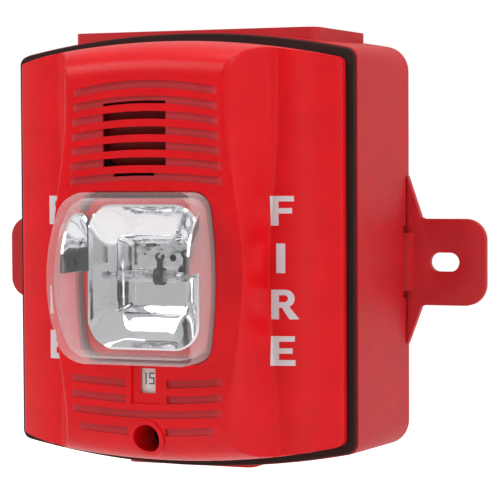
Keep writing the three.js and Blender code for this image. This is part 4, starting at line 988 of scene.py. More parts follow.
# ---------------------------------------------------------------- stage
class STROBE_OT_stage(bpy.types.Operator):
    """Adds the pale floor, the studio around it, the soft lights and the camera"""

    bl_idname = "strobe.stage"
    bl_label = "Stage"

    def execute(self, context):
        self.add_camera()
        self.add_floor()
        self.add_world()
        self.add_lights()
        return {"FINISHED"}

    def add_camera(self):
        """A long lens, a little to the right of the object and almost level with it."""
        data = bpy.data.cameras.new("camera")
        data.lens = CAMERA_LENS
        data.clip_end = 20
        turn = (
            Matrix.Rotation(math.radians(CAMERA_AZIMUTH), 4, "Z")
            @ Matrix.Rotation(math.radians(90 - CAMERA_PITCH), 4, "X")
            @ Matrix.Rotation(math.radians(CAMERA_ROLL), 4, "Z")
        )
        camera = bpy.data.objects.new("camera", data)
        camera.matrix_world = Matrix.Translation(Vector(CAMERA_PLACE) * MM) @ turn
        bpy.context.scene.collection.objects.link(camera)
        bpy.context.scene.camera = camera

    def add_floor(self):
        """Pale paper, lifted towards white only where the camera sees it."""
        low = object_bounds()[0][2] - FLOOR_DROP * MM
        start()
        bpy.ops.mesh.primitive_plane_add(size=8, location=(0, 0, low))
        floor = settle("floor")
        made = Finish("floor_paper", (0.92, 0.92, 0.92), roughness=0.9)
        made.shader.inputs["Emission Color"].default_value = (0.6, 0.6, 0.6, 1)
        seen = made.node("ShaderNodeLightPath").outputs["Is Camera Ray"]
        made.join(seen, made.shader, "Emission Strength")
        made.vary(made.noise(0.01, 2), 0.015)
        made.bump(made.noise(0.4, 2), 0.02)
        floor.data.materials.append(made.material)
        floor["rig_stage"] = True

    def add_lights(self):
        """Soft lamps, all aimed at the middle of the object."""
        bpy.context.scene.view_settings.view_transform = "Standard"
        for name, place, width, height, power in LAMPS:
            data = bpy.data.lights.new(name, "AREA")
            data.shape = "RECTANGLE"
            data.energy = power
            data.size = width * MM
            data.size_y = height * MM
            lamp = bpy.data.objects.new(name, data)
            aim = Vector(LAMP_AIM) - Vector(place)
            turn = aim.to_track_quat("-Z", "Y").to_matrix().to_4x4()
            lamp.matrix_world = Matrix.Translation(Vector(place) * MM) @ turn
            bpy.context.scene.collection.objects.link(lamp)

    def add_world(self):
        """A white backdrop, and for all other rays a pale studio that is dark in front."""
        world = bpy.data.worlds.new("studio")
        world.use_nodes = True
        bpy.context.scene.world = world
        tree = world.node_tree
        backdrop = tree.nodes["Background"]
        backdrop.inputs["Color"].default_value = (1, 1, 1, 1)
        backdrop.inputs["Strength"].default_value = 1.0
        room = tree.nodes.new("ShaderNodeBackground")
        split = tree.nodes.new("ShaderNodeSeparateXYZ")
        tree.links.new(tree.nodes.new("ShaderNodeTexCoord").outputs["Generated"], split.inputs[0])
        height = self.ramp(tree, split.outputs["Z"], ROOM_BY_HEIGHT)
        depth = self.ramp(tree, split.outputs["Y"], ROOM_BY_DEPTH)
        both = tree.nodes.new("ShaderNodeMix")
        both.data_type = "RGBA"
        both.blend_type = "MULTIPLY"
        both.inputs["Factor"].default_value = 1
        tree.links.new(height, both.inputs["A"])
        tree.links.new(depth, both.inputs["B"])
        tree.links.new(both.outputs["Result"], room.inputs["Color"])
        room.inputs["Strength"].default_value = ROOM_STRENGTH
        choose = tree.nodes.new("ShaderNodeMixShader")
        tree.links.new(tree.nodes.new("ShaderNodeLightPath").outputs["Is Camera Ray"], choose.inputs["Fac"])
        tree.links.new(room.outputs[0], choose.inputs[1])
        tree.links.new(backdrop.outputs[0], choose.inputs[2])
        tree.links.new(choose.outputs[0], tree.nodes["World Output"].inputs["Surface"])

    def ramp(self, tree, output, stops):
        """Grey levels along an output that runs from -1 to 1."""
        spread = tree.nodes.new("ShaderNodeMapRange")
        spread.inputs["From Min"].default_value = -1
        tree.links.new(output, spread.inputs["Value"])
        made = tree.nodes.new("ShaderNodeValToRGB")
        made.color_ramp.interpolation = "EASE"
        for _ in range(len(stops) - 2):
            made.color_ramp.elements.new(0.5)
        for element, (place, level) in zip(made.color_ramp.elements, stops):
            element.position = place
            element.color = (level, level, level, 1)
        tree.links.new(spread.outputs["Result"], made.inputs["Fac"])
        return made.outputs["Color"]


# ---------------------------------------------------------------- pieces of the wall box
def box_ring(y, inset):
    """The box's outline at a depth, set in by inset, wider and rounder towards the wall."""
    back = 1 + y / BOX_DEPTH
    corner = BOX_CORNER_FRONT + (BOX_CORNER_BACK - BOX_CORNER_FRONT) * back
    half_w = BOX_HALF_W + BOX_DRAFT * back - inset
    half_h = BOX_HALF_H + BOX_DRAFT * back - inset
    outline = arch_outline(half_w, half_h, BOX_SAG, max(corner - inset, 1.5))
    return [(x, y, z) for x, z in outline]


class STROBE_OT_box(bpy.types.Operator):
    """Builds the back box with its conduit pads, openings, knockouts and screw posts"""

    bl_idname = "strobe.box"
    bl_label = "Back box"

    def execute(self, context):
        box = loft("back_box_shell", [box_ring(-BOX_DEPTH * i / 6, 0) for i in range(6, -1, -1)])
        reach = EAR_HIGH.x
        combine(box, block("slab", -reach, reach, -BOX_DEPTH, 0, BOX_LOW.z, BOX_HIGH.z), "INTERSECT")
        add(box, self.pad("pad_top", TOP_PAD, BOX_HIGH.z, 1))
        add(box, self.pad("pad_bottom", BOTTOM_PAD, -BOX_LOW.z, -1))
        hollow = [box_ring(y, BOX_WALL) for y in (-BOX_DEPTH - 1, -BOX_DEPTH / 2, -BOX_FLOOR)]
        cut(box, loft("hollow", hollow))
        self.cut_openings(box)
        self.add_posts(box)
        soften(box, context.scene.strobe_sizes.edge_softness / MM, 3, 38)
        finish(box, material("box_red"), "wall_box", "box_red", "back_box", angle=38)
        return {"FINISHED"}

    def pad(self, name, size, height, up):
        """A flat block along the wall side of the box, narrower towards its front."""
        half_w, half_w_back, depth, corner = size
        outline = []
        for x, y in round_rect(-half_w, half_w, -depth, corner, corner):
            back = max(0, 1 + y / depth)
            outline.append((x * (1 + back * (half_w_back - half_w) / half_w), min(y, 0)))
        return loft(name, [[(x, y, up * z) for x, y in outline] for z in (height - PAD_ROOT, height)])

    def cut_openings(self, box):
        """The slots for the ears' tongues, the conduit entries and the ring-shaped knockouts."""
        side_in, side_out = BOX_HALF_W + BOX_DRAFT - BOX_WALL - 3, EAR_HIGH.x
        for side in (-1, 1):
            x0, x1 = sorted((side * side_in, side * side_out))
            cut(box, block("ear_slot", x0, x1, -EAR_SLOT_DEPTH, -BOX_FLOOR, *EAR_SLOT_Z))
        for up in (-1, 1):
            near, far = up * (BOX_HALF_H - BOX_WALL - 8), up * (BOX_HIGH.z + 2)
            cut(box, bar("conduit", CONDUIT_R, (0, CONDUIT_Y, near), (0, CONDUIT_Y, far), 64))
            middle = up * KNOCKOUT_Z
            ring = bar("ring", KNOCKOUT_OUT, (0, -KNOCKOUT_DEPTH, middle), (0, 1, middle), 64)
            cut(ring, bar("disc", KNOCKOUT_IN, (0, -KNOCKOUT_DEPTH - 1, middle), (0, 2, middle), 64))
            cut(box, ring)

    def add_posts(self, box):
        """Four posts that carry the mounting plate."""
        high = corners("mounting_plate")[1]
        x, z = high.x - PLATE_POST_FROM_SIDE, high.z - PLATE_POST_FROM_TOP
        for side in (-1, 1):
            for up in (-1, 1):
                foot, top = (side * x, 0.5 - BOX_FLOOR, up * z), (side * x, high.y + GAP, up * z)
                add(box, bar("post", PLATE_POST_R, foot, top, 40))
                begin, end = (side * x, -BOX_FLOOR - 1, up * z), (side * x, high.y - 2, up * z)
                cut(box, bar("bore", PLATE_POST_HOLE, begin, end, 24))


class STROBE_OT_gasket(bpy.types.Operator):
    """Builds the gasket between the box's rim and the cover"""

    bl_idname = "strobe.gasket"
    bl_label = "Box gasket"

    def execute(self, context):
        half_w, half_h, corner = GASKET_HIGH.x, GASKET_HIGH.z, BOX_CORNER_FRONT - 0.6
        outer = arch_outline(half_w, half_h, BOX_SAG, corner)
        inner = arch_outline(half_w - GASKET_BAND, half_h - GASKET_BAND, BOX_SAG, corner)
        ring = plate("box_gasket_ring", outer, GASKET_LOW.y, GASKET_HIGH.y)
        cut(ring, plate("inner", inner, GASKET_LOW.y - 1, GASKET_HIGH.y + 1))
        soften(ring, GASKET_ROUND, 3)
        finish(ring, material("gasket_rubber"), "wall_box", "gasket_rubber", "box_gasket")
        return {"FINISHED"}


class STROBE_OT_ears(bpy.types.Operator):
    """Builds the two mounting ears with their screw slots, gussets and hooked tongues"""

    bl_idname = "strobe.ears"
    bl_label = "Mounting ears"

    def execute(self, context):
        for side, node in ((-1, "ear_left"), (1, "ear_right")):
            ear = self.ear(node + "_plate", side)
            soften(ear, EAR_ROUND, 3, 30)
            finish(ear, material("box_red"), "wall_box", "box_red", node)
        return {"FINISHED"}

    def ear(self, name, side):
        """The slotted plate with its gussets, and the tongue that hooks through the box's side."""
        inner, gusset, end = BOX_HIGH.x + GAP, BOX_HIGH.x + GAP + EAR_GUSSET, EAR_HIGH.x
        rounds = arc(end - EAR_CORNER, EAR_BOTTOM + EAR_CORNER, EAR_CORNER, -math.pi / 2, 0, 10)
        rounds += arc(end - EAR_CORNER, EAR_TOP - EAR_CORNER, EAR_CORNER, 0, math.pi / 2, 10)
        outline = rounds + [
            (gusset + 1.6, EAR_TOP),
            (gusset + 0.4, EAR_TOP + 0.6),
            (gusset, EAR_TOP + 1.8),
            (inner, EAR_HIGH.z),
            (inner, EAR_LOW.z),
            (gusset, EAR_BOTTOM - 1.8),
            (gusset + 0.4, EAR_BOTTOM - 0.6),
            (gusset + 1.6, EAR_BOTTOM),
        ]
        shape = plate(name, [(side * x, z) for x, z in outline], -EAR_T, 0)
        middle_x, middle_z = end - EAR_SLOT_FROM_END, (EAR_TOP + EAR_BOTTOM) / 2
        half_l, half_h = EAR_SLOT_LENGTH / 2, EAR_SLOT_HEIGHT / 2
        slot = round_rect(
            middle_x - half_l, middle_x + half_l, middle_z - half_h, middle_z + half_h, half_h - 0.01
        )
        cut(shape, plate("slot", [(side * x, z) for x, z in slot], -EAR_T - 1, 1))
        tip = BOX_HALF_W + BOX_DRAFT - BOX_WALL - TONGUE_REACH
        front = -(BOX_FLOOR + GAP + TONGUE_T)
        z0, z1 = EAR_BOTTOM + TONGUE_INSET, EAR_TOP - TONGUE_INSET
        for x0, x1, y0, y1 in (
            (inner, inner + 2, front, -EAR_T + 0.5),
            (tip, inner + 0.5, front, -BOX_FLOOR - GAP),
            (tip, tip + TONGUE_HOOK, front - TONGUE_HOOK, front + 0.5),
        ):
            x0, x1 = sorted((side * x0, side * x1))
            add(shape, block("tongue", x0, x1, y0, y1, z0, z1))
        return shape


class STROBE_OT_cover(bpy.types.Operator):
    """Builds the front cover with its ridge, louvres, horn ports, candela window and screw well"""

    bl_idname = "strobe.cover"
    bl_label = "Front cover"

    def execute(self, context):
        depth = context.scene.strobe_sizes.louvre_depth / MM
        cover = cut(
            cover_solid("front_cover_shell", 0, COVER_Y),
            cover_solid("inside", COVER_WALL, COVER_Y + 1),
        )
        cover.data.materials.append(material("cover_red"))
        self.add_posts(cover)
        mouth, well_end = (0, PANEL_Y - 4, SCREW_Z), (0, PANEL_Y + WELL_DEPTH, SCREW_Z)
        well = bar("well", WELL_R + WELL_WALL, mouth, well_end, 64)
        add(cover, combine(well, cover_solid("lip", -WELL_LIP, COVER_Y), "INTERSECT"))
        cut(
            cover,
            plate("lens_hole", lens_outline(GAP), PANEL_Y - 3, PANEL_INNER_Y + 1.5),
            block("recess", *RECESS[:2], PANEL_Y - 1, PANEL_Y + RECESS_DEPTH, *RECESS[2:]),
            block("window", *WINDOW[:2], PANEL_Y - 1, PANEL_INNER_Y + 1, *WINDOW[2:]),
            bar("hole", WELL_R, (0, PANEL_Y - 5, SCREW_Z), (0, PANEL_Y + WELL_DEPTH + 1, SCREW_Z), 64),
            # The groove walls and floors take the louvre red, which is painted shade.
            painted(louvre_grooves(depth), "louvre_shade_red"),
            horn_ports(),
        )
        finish(cover, None, "device", "cover_red", "front_cover")
        return {"FINISHED"}

    def add_posts(self, cover):
        """Four posts behind the cover that take the housing's screws."""
        low, high = corners("rear_housing")
        foot = high.y - HOUSING_LIP
        x, z = high.x - POST_FROM_SIDE, (high.z - low.z) / 2 - POST_FROM_END
        for side in (-1, 1):
            for up in (-1, 1):
                rise = cover_rise(x + POST_R, z, COVER_HALF_H, 0)
                top = COVER_Y - rise + COVER_WALL / 2
                add(cover, bar("post", POST_R, (side * x, top, up * z), (side * x, foot, up * z), 32))
                begin, end = (side * x, top + COVER_WALL + 2, up * z), (side * x, foot + 1, up * z)
                cut(cover, bar("bore", POST_HOLE_R, begin, end, 24))


class STROBE_OT_baffle(bpy.types.Operator):
    """Builds the slotted baffle that stands in the horn's mouth behind the ports; its dark red is painted
    shade for the inside of the horn
    """

    bl_idname = "strobe.baffle"
    bl_label = "Horn baffle"

    def execute(self, context):
        low, high = corners("horn_chamber")
        x, z = (low.x + high.x) / 2, (low.z + high.z) / 2
        radius = (high.x - low.x) / 2 - HORN_WALL - GAP
        front, back = low.y + BAFFLE_IN, low.y + BAFFLE_IN + BAFFLE_T
        baffle = bar("horn_baffle", radius, (x, front, z), (x, back, z), 64)
        left, right = x - radius + BAFFLE_MARGIN, x + radius - BAFFLE_MARGIN
        for k in range(BAFFLE_SLITS):
            foot = z + (k - (BAFFLE_SLITS - 1) / 2) * LOUVRE_PITCH - BAFFLE_SLIT / 2
            cut(baffle, block("slit", left, right, front - 1, back + 1, foot, foot + BAFFLE_SLIT))
        soften(baffle, 0.2, 2)
        finish(baffle, material("horn_shade_red"), "device", "cover_red")
        return {"FINISHED"}


class STROBE_OT_bezel(bpy.types.Operator):
    """Builds the red bezel inside the lens: it frames the reflector and backs the lens's flange"""

    bl_idname = "strobe.bezel"
    bl_label = "Strobe bezel"

    def execute(self, context):
        foot, back = LENS_HIGH.y + GAP, LENS_HIGH.y + GAP + BEZEL_T
        inside = -LENS_WALL - GAP
        bezel = plate("strobe_bezel", lens_outline(inside), BEZEL_FRONT, foot + 0.5)
        cut(bezel, plate("hollow", lens_outline(inside - BEZEL_T), BEZEL_FRONT + BEZEL_T, foot + 1))
        flange = plate("flange", lens_outline(LENS_FLANGE_SIDE - 0.6, 0.4), foot, back)
        add(bezel, cut(flange, plate("flange_hole", lens_outline(inside - BEZEL_T), foot - 1, back + 1)))
        hole = round_rect(*BEZEL_HOLE, BEZEL_HOLE_CORNER)
        cut(bezel, plate("hole", hole, BEZEL_FRONT - 1, BEZEL_FRONT + BEZEL_T + 1))
        soften(bezel, 0.25, 3)
        finish(bezel, material("cover_red"), "device", "cover_red")
        return {"FINISHED"}


class STROBE_OT_lens(bpy.types.Operator):
    """Builds the clear barrel lens with its flange"""

    bl_idname = "strobe.lens"
    bl_label = "Lens"

    def execute(self, context):
        back = LENS_HIGH.y
        outer = self.body(0, back)
        soften(outer, 1.4, 5, 50)
        flange = lens_outline(LENS_FLANGE_SIDE, LENS_FLANGE_END)
        add(outer, plate("flange", flange, back - LENS_FLANGE_T, back))
        inner = self.body(LENS_WALL, back + 1)
        soften(inner, 0.6, 3, 50)
        cut(outer, inner)
        outer.name = "lens_clear"
        finish(outer, material("lens_clear"), "device", "lens_clear", "lens", angle=28)
        self.brighten_edges(outer)
        return {"FINISHED"}

    def brighten_edges(self, lens):
        """Gives the rounded edges a whiter, less clear finish: a painted highlight for the light their
        bevels catch.
        """
        lens.data.materials.append(material("lens_edge_highlight"))
        for face in lens.data.polygons:
            across, ahead, upward = (abs(n) for n in face.normal)
            side_edge = across > 0.3 and ahead > 0.3
            end_edge = upward > 0.83 and 0.1 < ahead < 0.56
            if side_edge or end_edge:
                face.material_index = 1

    def body(self, inset, back_y):
        """The lens's outline met with its domed side view."""
        front = LENS_LOW.y + inset
        dome_end = front + LENS_DOME_DROP
        half_l = (LENS_TOP - LENS_BOTTOM) / 2 - inset
        bottom, top = LENS_MID_Z - half_l - 1, LENS_MID_Z + half_l + 1
        outline = plate("lens_body", lens_outline(-inset), front - 3, back_y)
        profile = [(back_y + 1, bottom), (dome_end, bottom)]
        steps = 64
        for i in range(steps + 1):
            s = -1 + 2 * i / steps
            drop = LENS_DOME_DROP * (0.75 * s**2 + 0.25 * s**8)
            profile.append((front + drop, LENS_MID_Z + s * half_l))
        profile += [(dome_end, top), (back_y + 1, top)]
        reach = LENS_HALF_W + 6
        side = loft("lens_side", [[(x, y, z) for y, z in profile] for x in (-reach, reach)])
        return combine(outline, side, "INTERSECT")


class STROBE_OT_reflector(bpy.types.Operator):
    """Builds the plated reflector: square bowl, deep trough, side wings and legs"""

    bl_idname = "strobe.reflector"
    bl_label = "Reflector"

    def execute(self, context):
        bowl = self.bowl()
        back = corners("reflector")[1].y
        floor_y = REFLECTOR_RIM_Y + BOWL_RINGS[-1][0]
        for side in (-1, 1):
            x, z = side * LEG_X, TUBE_Z + LEG_ABOVE_TUBE
            add(bowl, bar("leg", LEG_R, (x, floor_y - 3, z), (x, back, z), 32))
            wing = self.wing(side)
            lead = (side * LEAD_X, REFLECTOR_RIM_Y + 1, TUBE_Z), (side * LEAD_X, back, TUBE_Z)
            cut(bowl, bar("lead_hole", LEAD_HOLE_R, *lead, 24))
            add(bowl, wing)
        z = TUBE_Z + BAND_LEAD_ABOVE_TUBE
        lead = (BAND_X, REFLECTOR_RIM_Y + 9, z), (BAND_X, back, z)
        cut(bowl, bar("band_hole", BAND_LEAD_HOLE_R, *lead, 24))
        finish(bowl, material("mirror_chrome"), "device", "mirror_chrome", "reflector", angle=24)
        return {"FINISHED"}

    def bowl(self):
        """The bowl's skin, ring by ring from its floor, then thickened outwards."""
        rings = []
        for y, half_w, top, bottom, corner in reversed(BOWL_RINGS):
            outline = round_rect(-half_w, half_w, bottom, top, corner, 10)
            rings.append([(x, REFLECTOR_RIM_Y + y, z) for x, z in outline])
        bowl = loft("reflector_bowl", rings)
        edit(bowl, "DESELECT")
        skin = bmesh.from_edit_mesh(bowl.data)
        for face in skin.faces:
            middle = face.calc_center_median().y
            face.select = len(face.verts) > 4 and middle < (REFLECTOR_RIM_Y + 1) * MM
        bmesh.update_edit_mesh(bowl.data)
        bpy.ops.mesh.delete(type="ONLY_FACE")
        leave_edit_mode()
        modify(bowl, "SOLIDIFY", thickness=REFLECTOR_WALL * MM, offset=1)
        return bowl

    def wing(self, side):
        """A thin plate beside the bowl that stands forward along the lens wall."""
        edge = [(WING_FOOT, WING_BOTTOM), (WING_FRONT, WING_BOTTOM)]
        for i in range(1, 13):
            turn = i / 12 * math.pi / 2
            y = REFLECTOR_RIM_Y - 0.8 + (WING_FRONT - REFLECTOR_RIM_Y + 0.8) * math.cos(turn)
            edge.append((y, WING_BOTTOM + (WING_TOP - WING_BOTTOM) * math.sin(turn)))
        edge.append((WING_FOOT, WING_TOP))
        sections = []
        for x in (WING_INNER_X, WING_INNER_X + WING_T):
            sections.append([(side * (x + WING_LEAN * self.lean(y)), y, z) for y, z in edge])
        return loft("wing", sections)

    def lean(self, y):
        """Share of a wing's outward lean, from the bowl's rim to the wing's front."""
        return min(1, max(0, (REFLECTOR_RIM_Y - y) / 3))


class STROBE_OT_tube(bpy.types.Operator):
    """Builds the glass flash tube and the pins inside it"""

    bl_idname = "strobe.tube"
    bl_label = "Flash tube"

    def execute(self, context):
        tube = bar("flash_tube_glass", TUBE_R, self.place(-TUBE_HALF_L), self.place(TUBE_HALF_L))
        soften(tube, 1.3, 5, 60)
        begin, end = self.place(-TUBE_HALF_L + TUBE_END_WALL), self.place(TUBE_HALF_L - TUBE_END_WALL)
        bore = bar("bore", TUBE_R - TUBE_WALL, begin, end, 32)
        way = bar("bore_way", 0.3, begin, self.place(TUBE_HALF_L + 1), 12)
        cut(tube, add(bore, way))
        finish(tube, material("tube_glass"), "device", "tube_glass", "flash_tube")
        for side, name in ((-1, "tube_pin_left"), (1, "tube_pin_right")):
            self.build_pin(side, name)
        return {"FINISHED"}

    def place(self, x):
        """A point on the tube's axis."""
        return x, TUBE_Y, TUBE_Z

    def build_pin(self, side, name):
        """An inner lead with the thick electrode at its tip."""
        x = TUBE_HALF_L - 2
        pin = bar(name, PIN_R, self.place(side * x), self.place(side * (x - PIN_LENGTH)), 16)
        tip = bar("tip", PIN_TIP_R, self.place(side * (x - 2.2)), self.place(side * (x - 3.8)), 24)
        add(pin, soften(tip, 0.2, 2))
        finish(pin, material("zinc_steel"), "device", "zinc_steel")


class STROBE_OT_band(bpy.types.Operator):
    """Builds the trigger band round the tube, with its strap and eye, and the bare lead from it"""

    bl_idname = "strobe.band"
    bl_label = "Trigger band"

    def execute(self, context):
        inner = TUBE_R + GAP
        x0, x1 = BAND_X - BAND_HALF_W, BAND_X + BAND_HALF_W
        eye_z = TUBE_Z + EYE_ABOVE_TUBE
        band = bar("trigger_band_clip", inner + BAND_T, (x0, TUBE_Y, TUBE_Z), (x1, TUBE_Y, TUBE_Z))
        soften(band, 0.25, 2)
        strap = block("strap", BAND_X - 0.9, BAND_X + 0.9, TUBE_Y - 0.9, TUBE_Y + 0.5, TUBE_Z + 2.4, eye_z)
        soften(strap, 0.25, 2)
        eye = bar("eye", EYE_R, (BAND_X, TUBE_Y - 1.1, eye_z), (BAND_X, TUBE_Y + 0.7, eye_z), 40)
        soften(eye, 0.3, 2)
        add(band, strap, eye)
        cut(
            band,
            bar("inner", inner, (x0 - 1, TUBE_Y, TUBE_Z), (x1 + 1, TUBE_Y, TUBE_Z)),
            bar("eye_hole", EYE_HOLE_R, (BAND_X, TUBE_Y - 3, eye_z), (BAND_X, TUBE_Y + 3, eye_z), 24),
        )
        finish(band, material("black_plastic"), "device", "black_plastic", "trigger_band")
        self.build_lead(eye_z)
        return {"FINISHED"}

    def build_lead(self, eye_z):
        """The bare lead from the eye up towards the bowl's corner."""
        start()
        bpy.ops.curve.primitive_bezier_curve_add()
        lead = bpy.context.object
        spline = lead.data.splines[0]
        places = (
            (BAND_X, TUBE_Y - 1.2, eye_z),
            (BAND_X + 4, TUBE_Y - 1.8, eye_z + 4.3),
            (BAND_X + 7.6, TUBE_Y - 0.6, eye_z + 8.2),
        )
        spline.bezier_points.add(len(places) - 2)
        for point, place in zip(spline.bezier_points, places):
            point.co = Vector(place) * MM
            point.handle_left_type = point.handle_right_type = "AUTO"
        lead.data.bevel_depth = TRIGGER_LEAD_R * MM
        lead.data.bevel_resolution = 5
        lead.data.use_fill_caps = True
        take(lead)
        bpy.ops.object.convert(target="MESH")
        finish(settle("trigger_lead"), material("zinc_steel"), "device", "zinc_steel")


class STROBE_OT_strip(bpy.types.Operator):
    """Builds the candela strip with its printed numbers"""

    bl_idname = "strobe.strip"
    bl_label = "Candela strip"

    def execute(self, context):
        white = material("white_plastic")
        dress("candela_slider", "candela_slider_strip", white, "white_plastic", 0.12)
        face_y = corners("candela_slider")[0].y
        inks = []
        for place, number in enumerate(STRIP_NUMBERS):
            inks.append(self.number(number, NUMBER_X - place * STRIP_CELL, NUMBER_Z, face_y))
        finish(gather("candela_numbers", inks), material("ink"), "candela_slider", "white_plastic")
        return {"FINISHED"}

    def number(self, number, x, z, y):
        """Numerals from plain strokes, centred on x and z, on the strip's face at y."""
        pitch = DIGIT_WIDTH + DIGIT_GAP
        half = DIGIT_STROKE / 2
        foot = z - DIGIT_HEIGHT / 2
        strokes = []
        for i, digit in enumerate(number):
            left = x + pitch * (i - (len(number) - 1) / 2) - DIGIT_WIDTH / 2
            for x0, x1, z0, z1 in NUMERALS[digit]:
                begin, end = left + x0 * DIGIT_WIDTH - half, left + x1 * DIGIT_WIDTH + half
                low, high = foot + z0 * DIGIT_HEIGHT - half, foot + z1 * DIGIT_HEIGHT + half
                strokes.append(block("stroke", begin, end, y - INK_T, y, low, high))
        return add(*strokes)


class STROBE_OT_letters(bpy.types.Operator):
    """Builds the plain block letters printed down both flanks"""

    bl_idname = "strobe.letters"
    bl_label = "Lettering"

    def execute(self, context):
        share = context.scene.strobe_sizes.letter_height / MM / LETTER_TALL
        for name, middle in LETTER_MIDDLES:
            made = []
            for letter, top in LETTER_TOPS:
                flat = self.letter(letter)
                for vertex in flat.data.vertices:
                    vertex.co.x = (vertex.co.x - LETTER_WIDTH / 2 * MM) * share + middle * MM
                    vertex.co.z = (vertex.co.z - LETTER_TALL * MM) * share + top * MM
                made.append(self.laid_on_cover(self.sliced(flat)))
            finish(gather("lettering_" + name, made), material("lettering"), "device", "cover_red")
        return {"FINISHED"}

    def letter(self, letter):
        """A flat block letter with its foot at the left of its cell."""
        if letter != "R":
            return plate(letter, LETTERS[letter], -1, 0)
        stem = plate("R", ((0, 0), (2.6, 0), (2.6, 9.8), (0, 9.8)), -1, 0)
        bowl = [(1, 3.9), (4.6, 3.9)] + arc(4.7, 6.85, 2.95, -math.pi / 2, math.pi / 2, 20) + [(1, 9.8)]
        hole = [(2.6, 5.7), (4.4, 5.7)] + arc(4.4, 6.85, 1.15, -math.pi / 2, math.pi / 2, 12) + [(2.6, 8)]
        leg = plate("leg", ((3.1, 4.6), (5.6, 4.6), (9.2, 0), (6, 0)), -1, 0)
        add(stem, plate("bowl", bowl, -1, 0), leg)
        return cut(stem, plate("hole", hole, -2, 1))

    def sliced(self, letter):
        """The flat letter cut both ways into fine cells, so that it can bend."""
        places = [vertex.co.copy() for vertex in letter.data.vertices]
        edit(letter)
        for across in (Vector((1, 0, 0)), Vector((0, 0, 1))):
            low, high = min(across.dot(p) for p in places), max(across.dot(p) for p in places)
            for i in range(1, LETTER_SLICES):
                middle = across * (low + (high - low) * i / LETTER_SLICES)
                bpy.ops.mesh.select_all(action="SELECT")
                bpy.ops.mesh.bisect(plane_co=middle, plane_no=across, threshold=1e-7)
        leave_edit_mode()
        return letter

    def laid_on_cover(self, letter):
        """The letter bent onto the flank, its face just proud of it."""
        arch = arch_of(COVER_HALF_W, COVER_HALF_H, COVER_SAG, COVER_CORNER)
        for vertex in letter.data.vertices:
            x, z = vertex.co.x / MM, vertex.co.z / MM
            surface = COVER_Y - cover_rise(x, z, half_height_at(arch, x), 0)
            behind = vertex.co.y > -0.5 * MM
            vertex.co.y = (surface + (PRINT_SUNK if behind else -PRINT_T)) * MM
        return letter


# ---------------------------------------------------------------- pieces whose CAD shape is right
class DressOperator:
    """Gives CAD nodes their rounded edges and finish: node, slot, edge, and how many there are."""

    def execute(self, context):
        for node, slot, edge, count in self.pieces:
            names = [f"{node}_{i}" for i in range(1, count + 1)] if count > 1 else [node]
            for name in names:
                dress(name, name + "_finished", material(slot), slot, edge)
        return {"FINISHED"}


class STROBE_OT_plugs(DressOperator, bpy.types.Operator):
    """Dresses the two hexagon-socket plugs in the conduit openings"""

    bl_idname = "strobe.plugs"
    bl_label = "Conduit plugs"
    pieces = (("conduit_plug_top", "zinc_steel", 0.3, 1), ("conduit_plug_bottom", "zinc_steel", 0.3, 1))


class STROBE_OT_plate(DressOperator, bpy.types.Operator):
    """Dresses the mounting plate and its four screws"""

    bl_idname = "strobe.plate"
    bl_label = "Mounting plate"
    pieces = (("mounting_plate", "plate_grey", 0.3, 1), ("plate_screw", "zinc_steel", 0.15, 4))


class STROBE_OT_terminals(DressOperator, bpy.types.Operator):
    """Dresses the terminal block, its clamps and screws, and the board's sprung contacts"""

    bl_idname = "strobe.terminals"
    bl_label = "Terminals"
    pieces = (
        ("terminal_block", "black_plastic", 0.2, 1),
        ("terminal_clamp", "brass", 0.1, 4),
        ("terminal_screw", "zinc_steel", 0.1, 4),
        ("contact_pin", "brass", 0.1, 4),
    )


class STROBE_OT_housing(DressOperator, bpy.types.Operator):
    """Dresses the device's rear housing and its four screws"""

    bl_idname = "strobe.housing"
    bl_label = "Rear housing"
    pieces = (("rear_housing", "black_plastic", 0.3, 1), ("housing_screw", "zinc_steel", 0.15, 4))


class STROBE_OT_board(DressOperator, bpy.types.Operator):
    """Dresses the circuit board, its screws, the flash capacitor and the two coils"""

    bl_idname = "strobe.board"
    bl_label = "Circuit board"
    pieces = (
        ("circuit_board", "board_green", 0.1, 1),
        ("board_screw", "zinc_steel", 0.15, 4),
        ("flash_capacitor", "capacitor_sleeve", 0.3, 1),
        ("inverter_coil", "copper_wire", 0.15, 1),
        ("trigger_coil", "copper_wire", 0.15, 1),
    )


class STROBE_OT_horn(DressOperator, bpy.types.Operator):
    """Dresses the horn chamber with its piezo disc and retainer"""

    bl_idname = "strobe.horn"
    bl_label = "Horn"
    pieces = (
        ("horn_chamber", "black_plastic", 0.2, 1),
        ("piezo_disc", "brass", 0.05, 1),
        ("piezo_retainer", "black_plastic", 0.2, 1),
    )


class STROBE_OT_electrodes(DressOperator, bpy.types.Operator):
    """Dresses the flash tube's end caps with their leads"""

    bl_idname = "strobe.electrodes"
    bl_label = "Tube caps"
    pieces = (("tube_electrode_left", "zinc_steel", 0.1, 1), ("tube_electrode_right", "zinc_steel", 0.1, 1))


class STROBE_OT_seal(DressOperator, bpy.types.Operator):
    """Dresses the seal behind the lens's flange"""

    bl_idname = "strobe.seal"
    bl_label = "Lens seal"
    pieces = (("lens_seal", "gasket_rubber", 0.1, 1),)


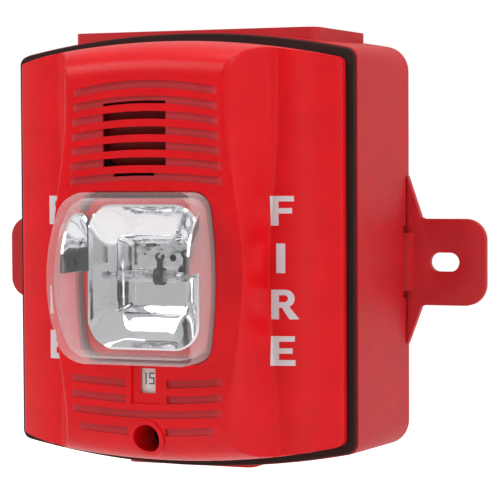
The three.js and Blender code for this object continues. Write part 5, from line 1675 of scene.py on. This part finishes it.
class STROBE_OT_selectors(DressOperator, bpy.types.Operator):
    """Dresses the candela strip's track, the tone switch and its knob"""

    bl_idname = "strobe.selectors"
    bl_label = "Selectors"
    pieces = (
        ("slider_track", "black_plastic", 0.15, 1),
        ("tone_switch", "black_plastic", 0.2, 1),
        ("tone_knob", "white_plastic", 0.2, 1),
    )


class STROBE_OT_screw(DressOperator, bpy.types.Operator):
    """Dresses the long screw that holds the device"""

    bl_idname = "strobe.screw"
    bl_label = "Device screw"
    pieces = (("device_screw", "zinc_steel", 0.25, 1),)


STEPS = (
    STROBE_OT_stage,
    STROBE_OT_box,
    STROBE_OT_gasket,
    STROBE_OT_ears,
    STROBE_OT_cover,
    STROBE_OT_letters,
    STROBE_OT_baffle,
    STROBE_OT_bezel,
    STROBE_OT_lens,
    STROBE_OT_reflector,
    STROBE_OT_tube,
    STROBE_OT_band,
    STROBE_OT_strip,
    STROBE_OT_plugs,
    STROBE_OT_plate,
    STROBE_OT_terminals,
    STROBE_OT_housing,
    STROBE_OT_board,
    STROBE_OT_horn,
    STROBE_OT_electrodes,
    STROBE_OT_seal,
    STROBE_OT_selectors,
    STROBE_OT_screw,
)


class STROBE_PT_panel(bpy.types.Panel):
    """Sizes, colours and build steps of the horn strobe"""

    bl_idname = "STROBE_PT_panel"
    bl_label = "Horn Strobe"
    bl_space_type = "VIEW_3D"
    bl_region_type = "UI"
    bl_category = "Horn Strobe"

    def draw(self, context):
        for group in (context.scene.strobe_sizes, context.scene.strobe_colours):
            for name in group.__annotations__:
                self.layout.prop(group, name)
        for step in STEPS:
            self.layout.operator(step.bl_idname)


CLASSES = (StrobeColours, StrobeSizes, *STEPS, STROBE_PT_panel)


def register():
    for cls in CLASSES:
        bpy.utils.register_class(cls)
    bpy.types.Scene.strobe_colours = PointerProperty(type=StrobeColours)
    bpy.types.Scene.strobe_sizes = PointerProperty(type=StrobeSizes)


def unregister():
    del bpy.types.Scene.strobe_sizes
    del bpy.types.Scene.strobe_colours
    for cls in reversed(CLASSES):
        bpy.utils.unregister_class(cls)


def main():
    register()
    for step in STEPS:
        group, name = step.bl_idname.split(".")
        getattr(getattr(bpy.ops, group), name)()


if __name__ == "__main__":
    main()
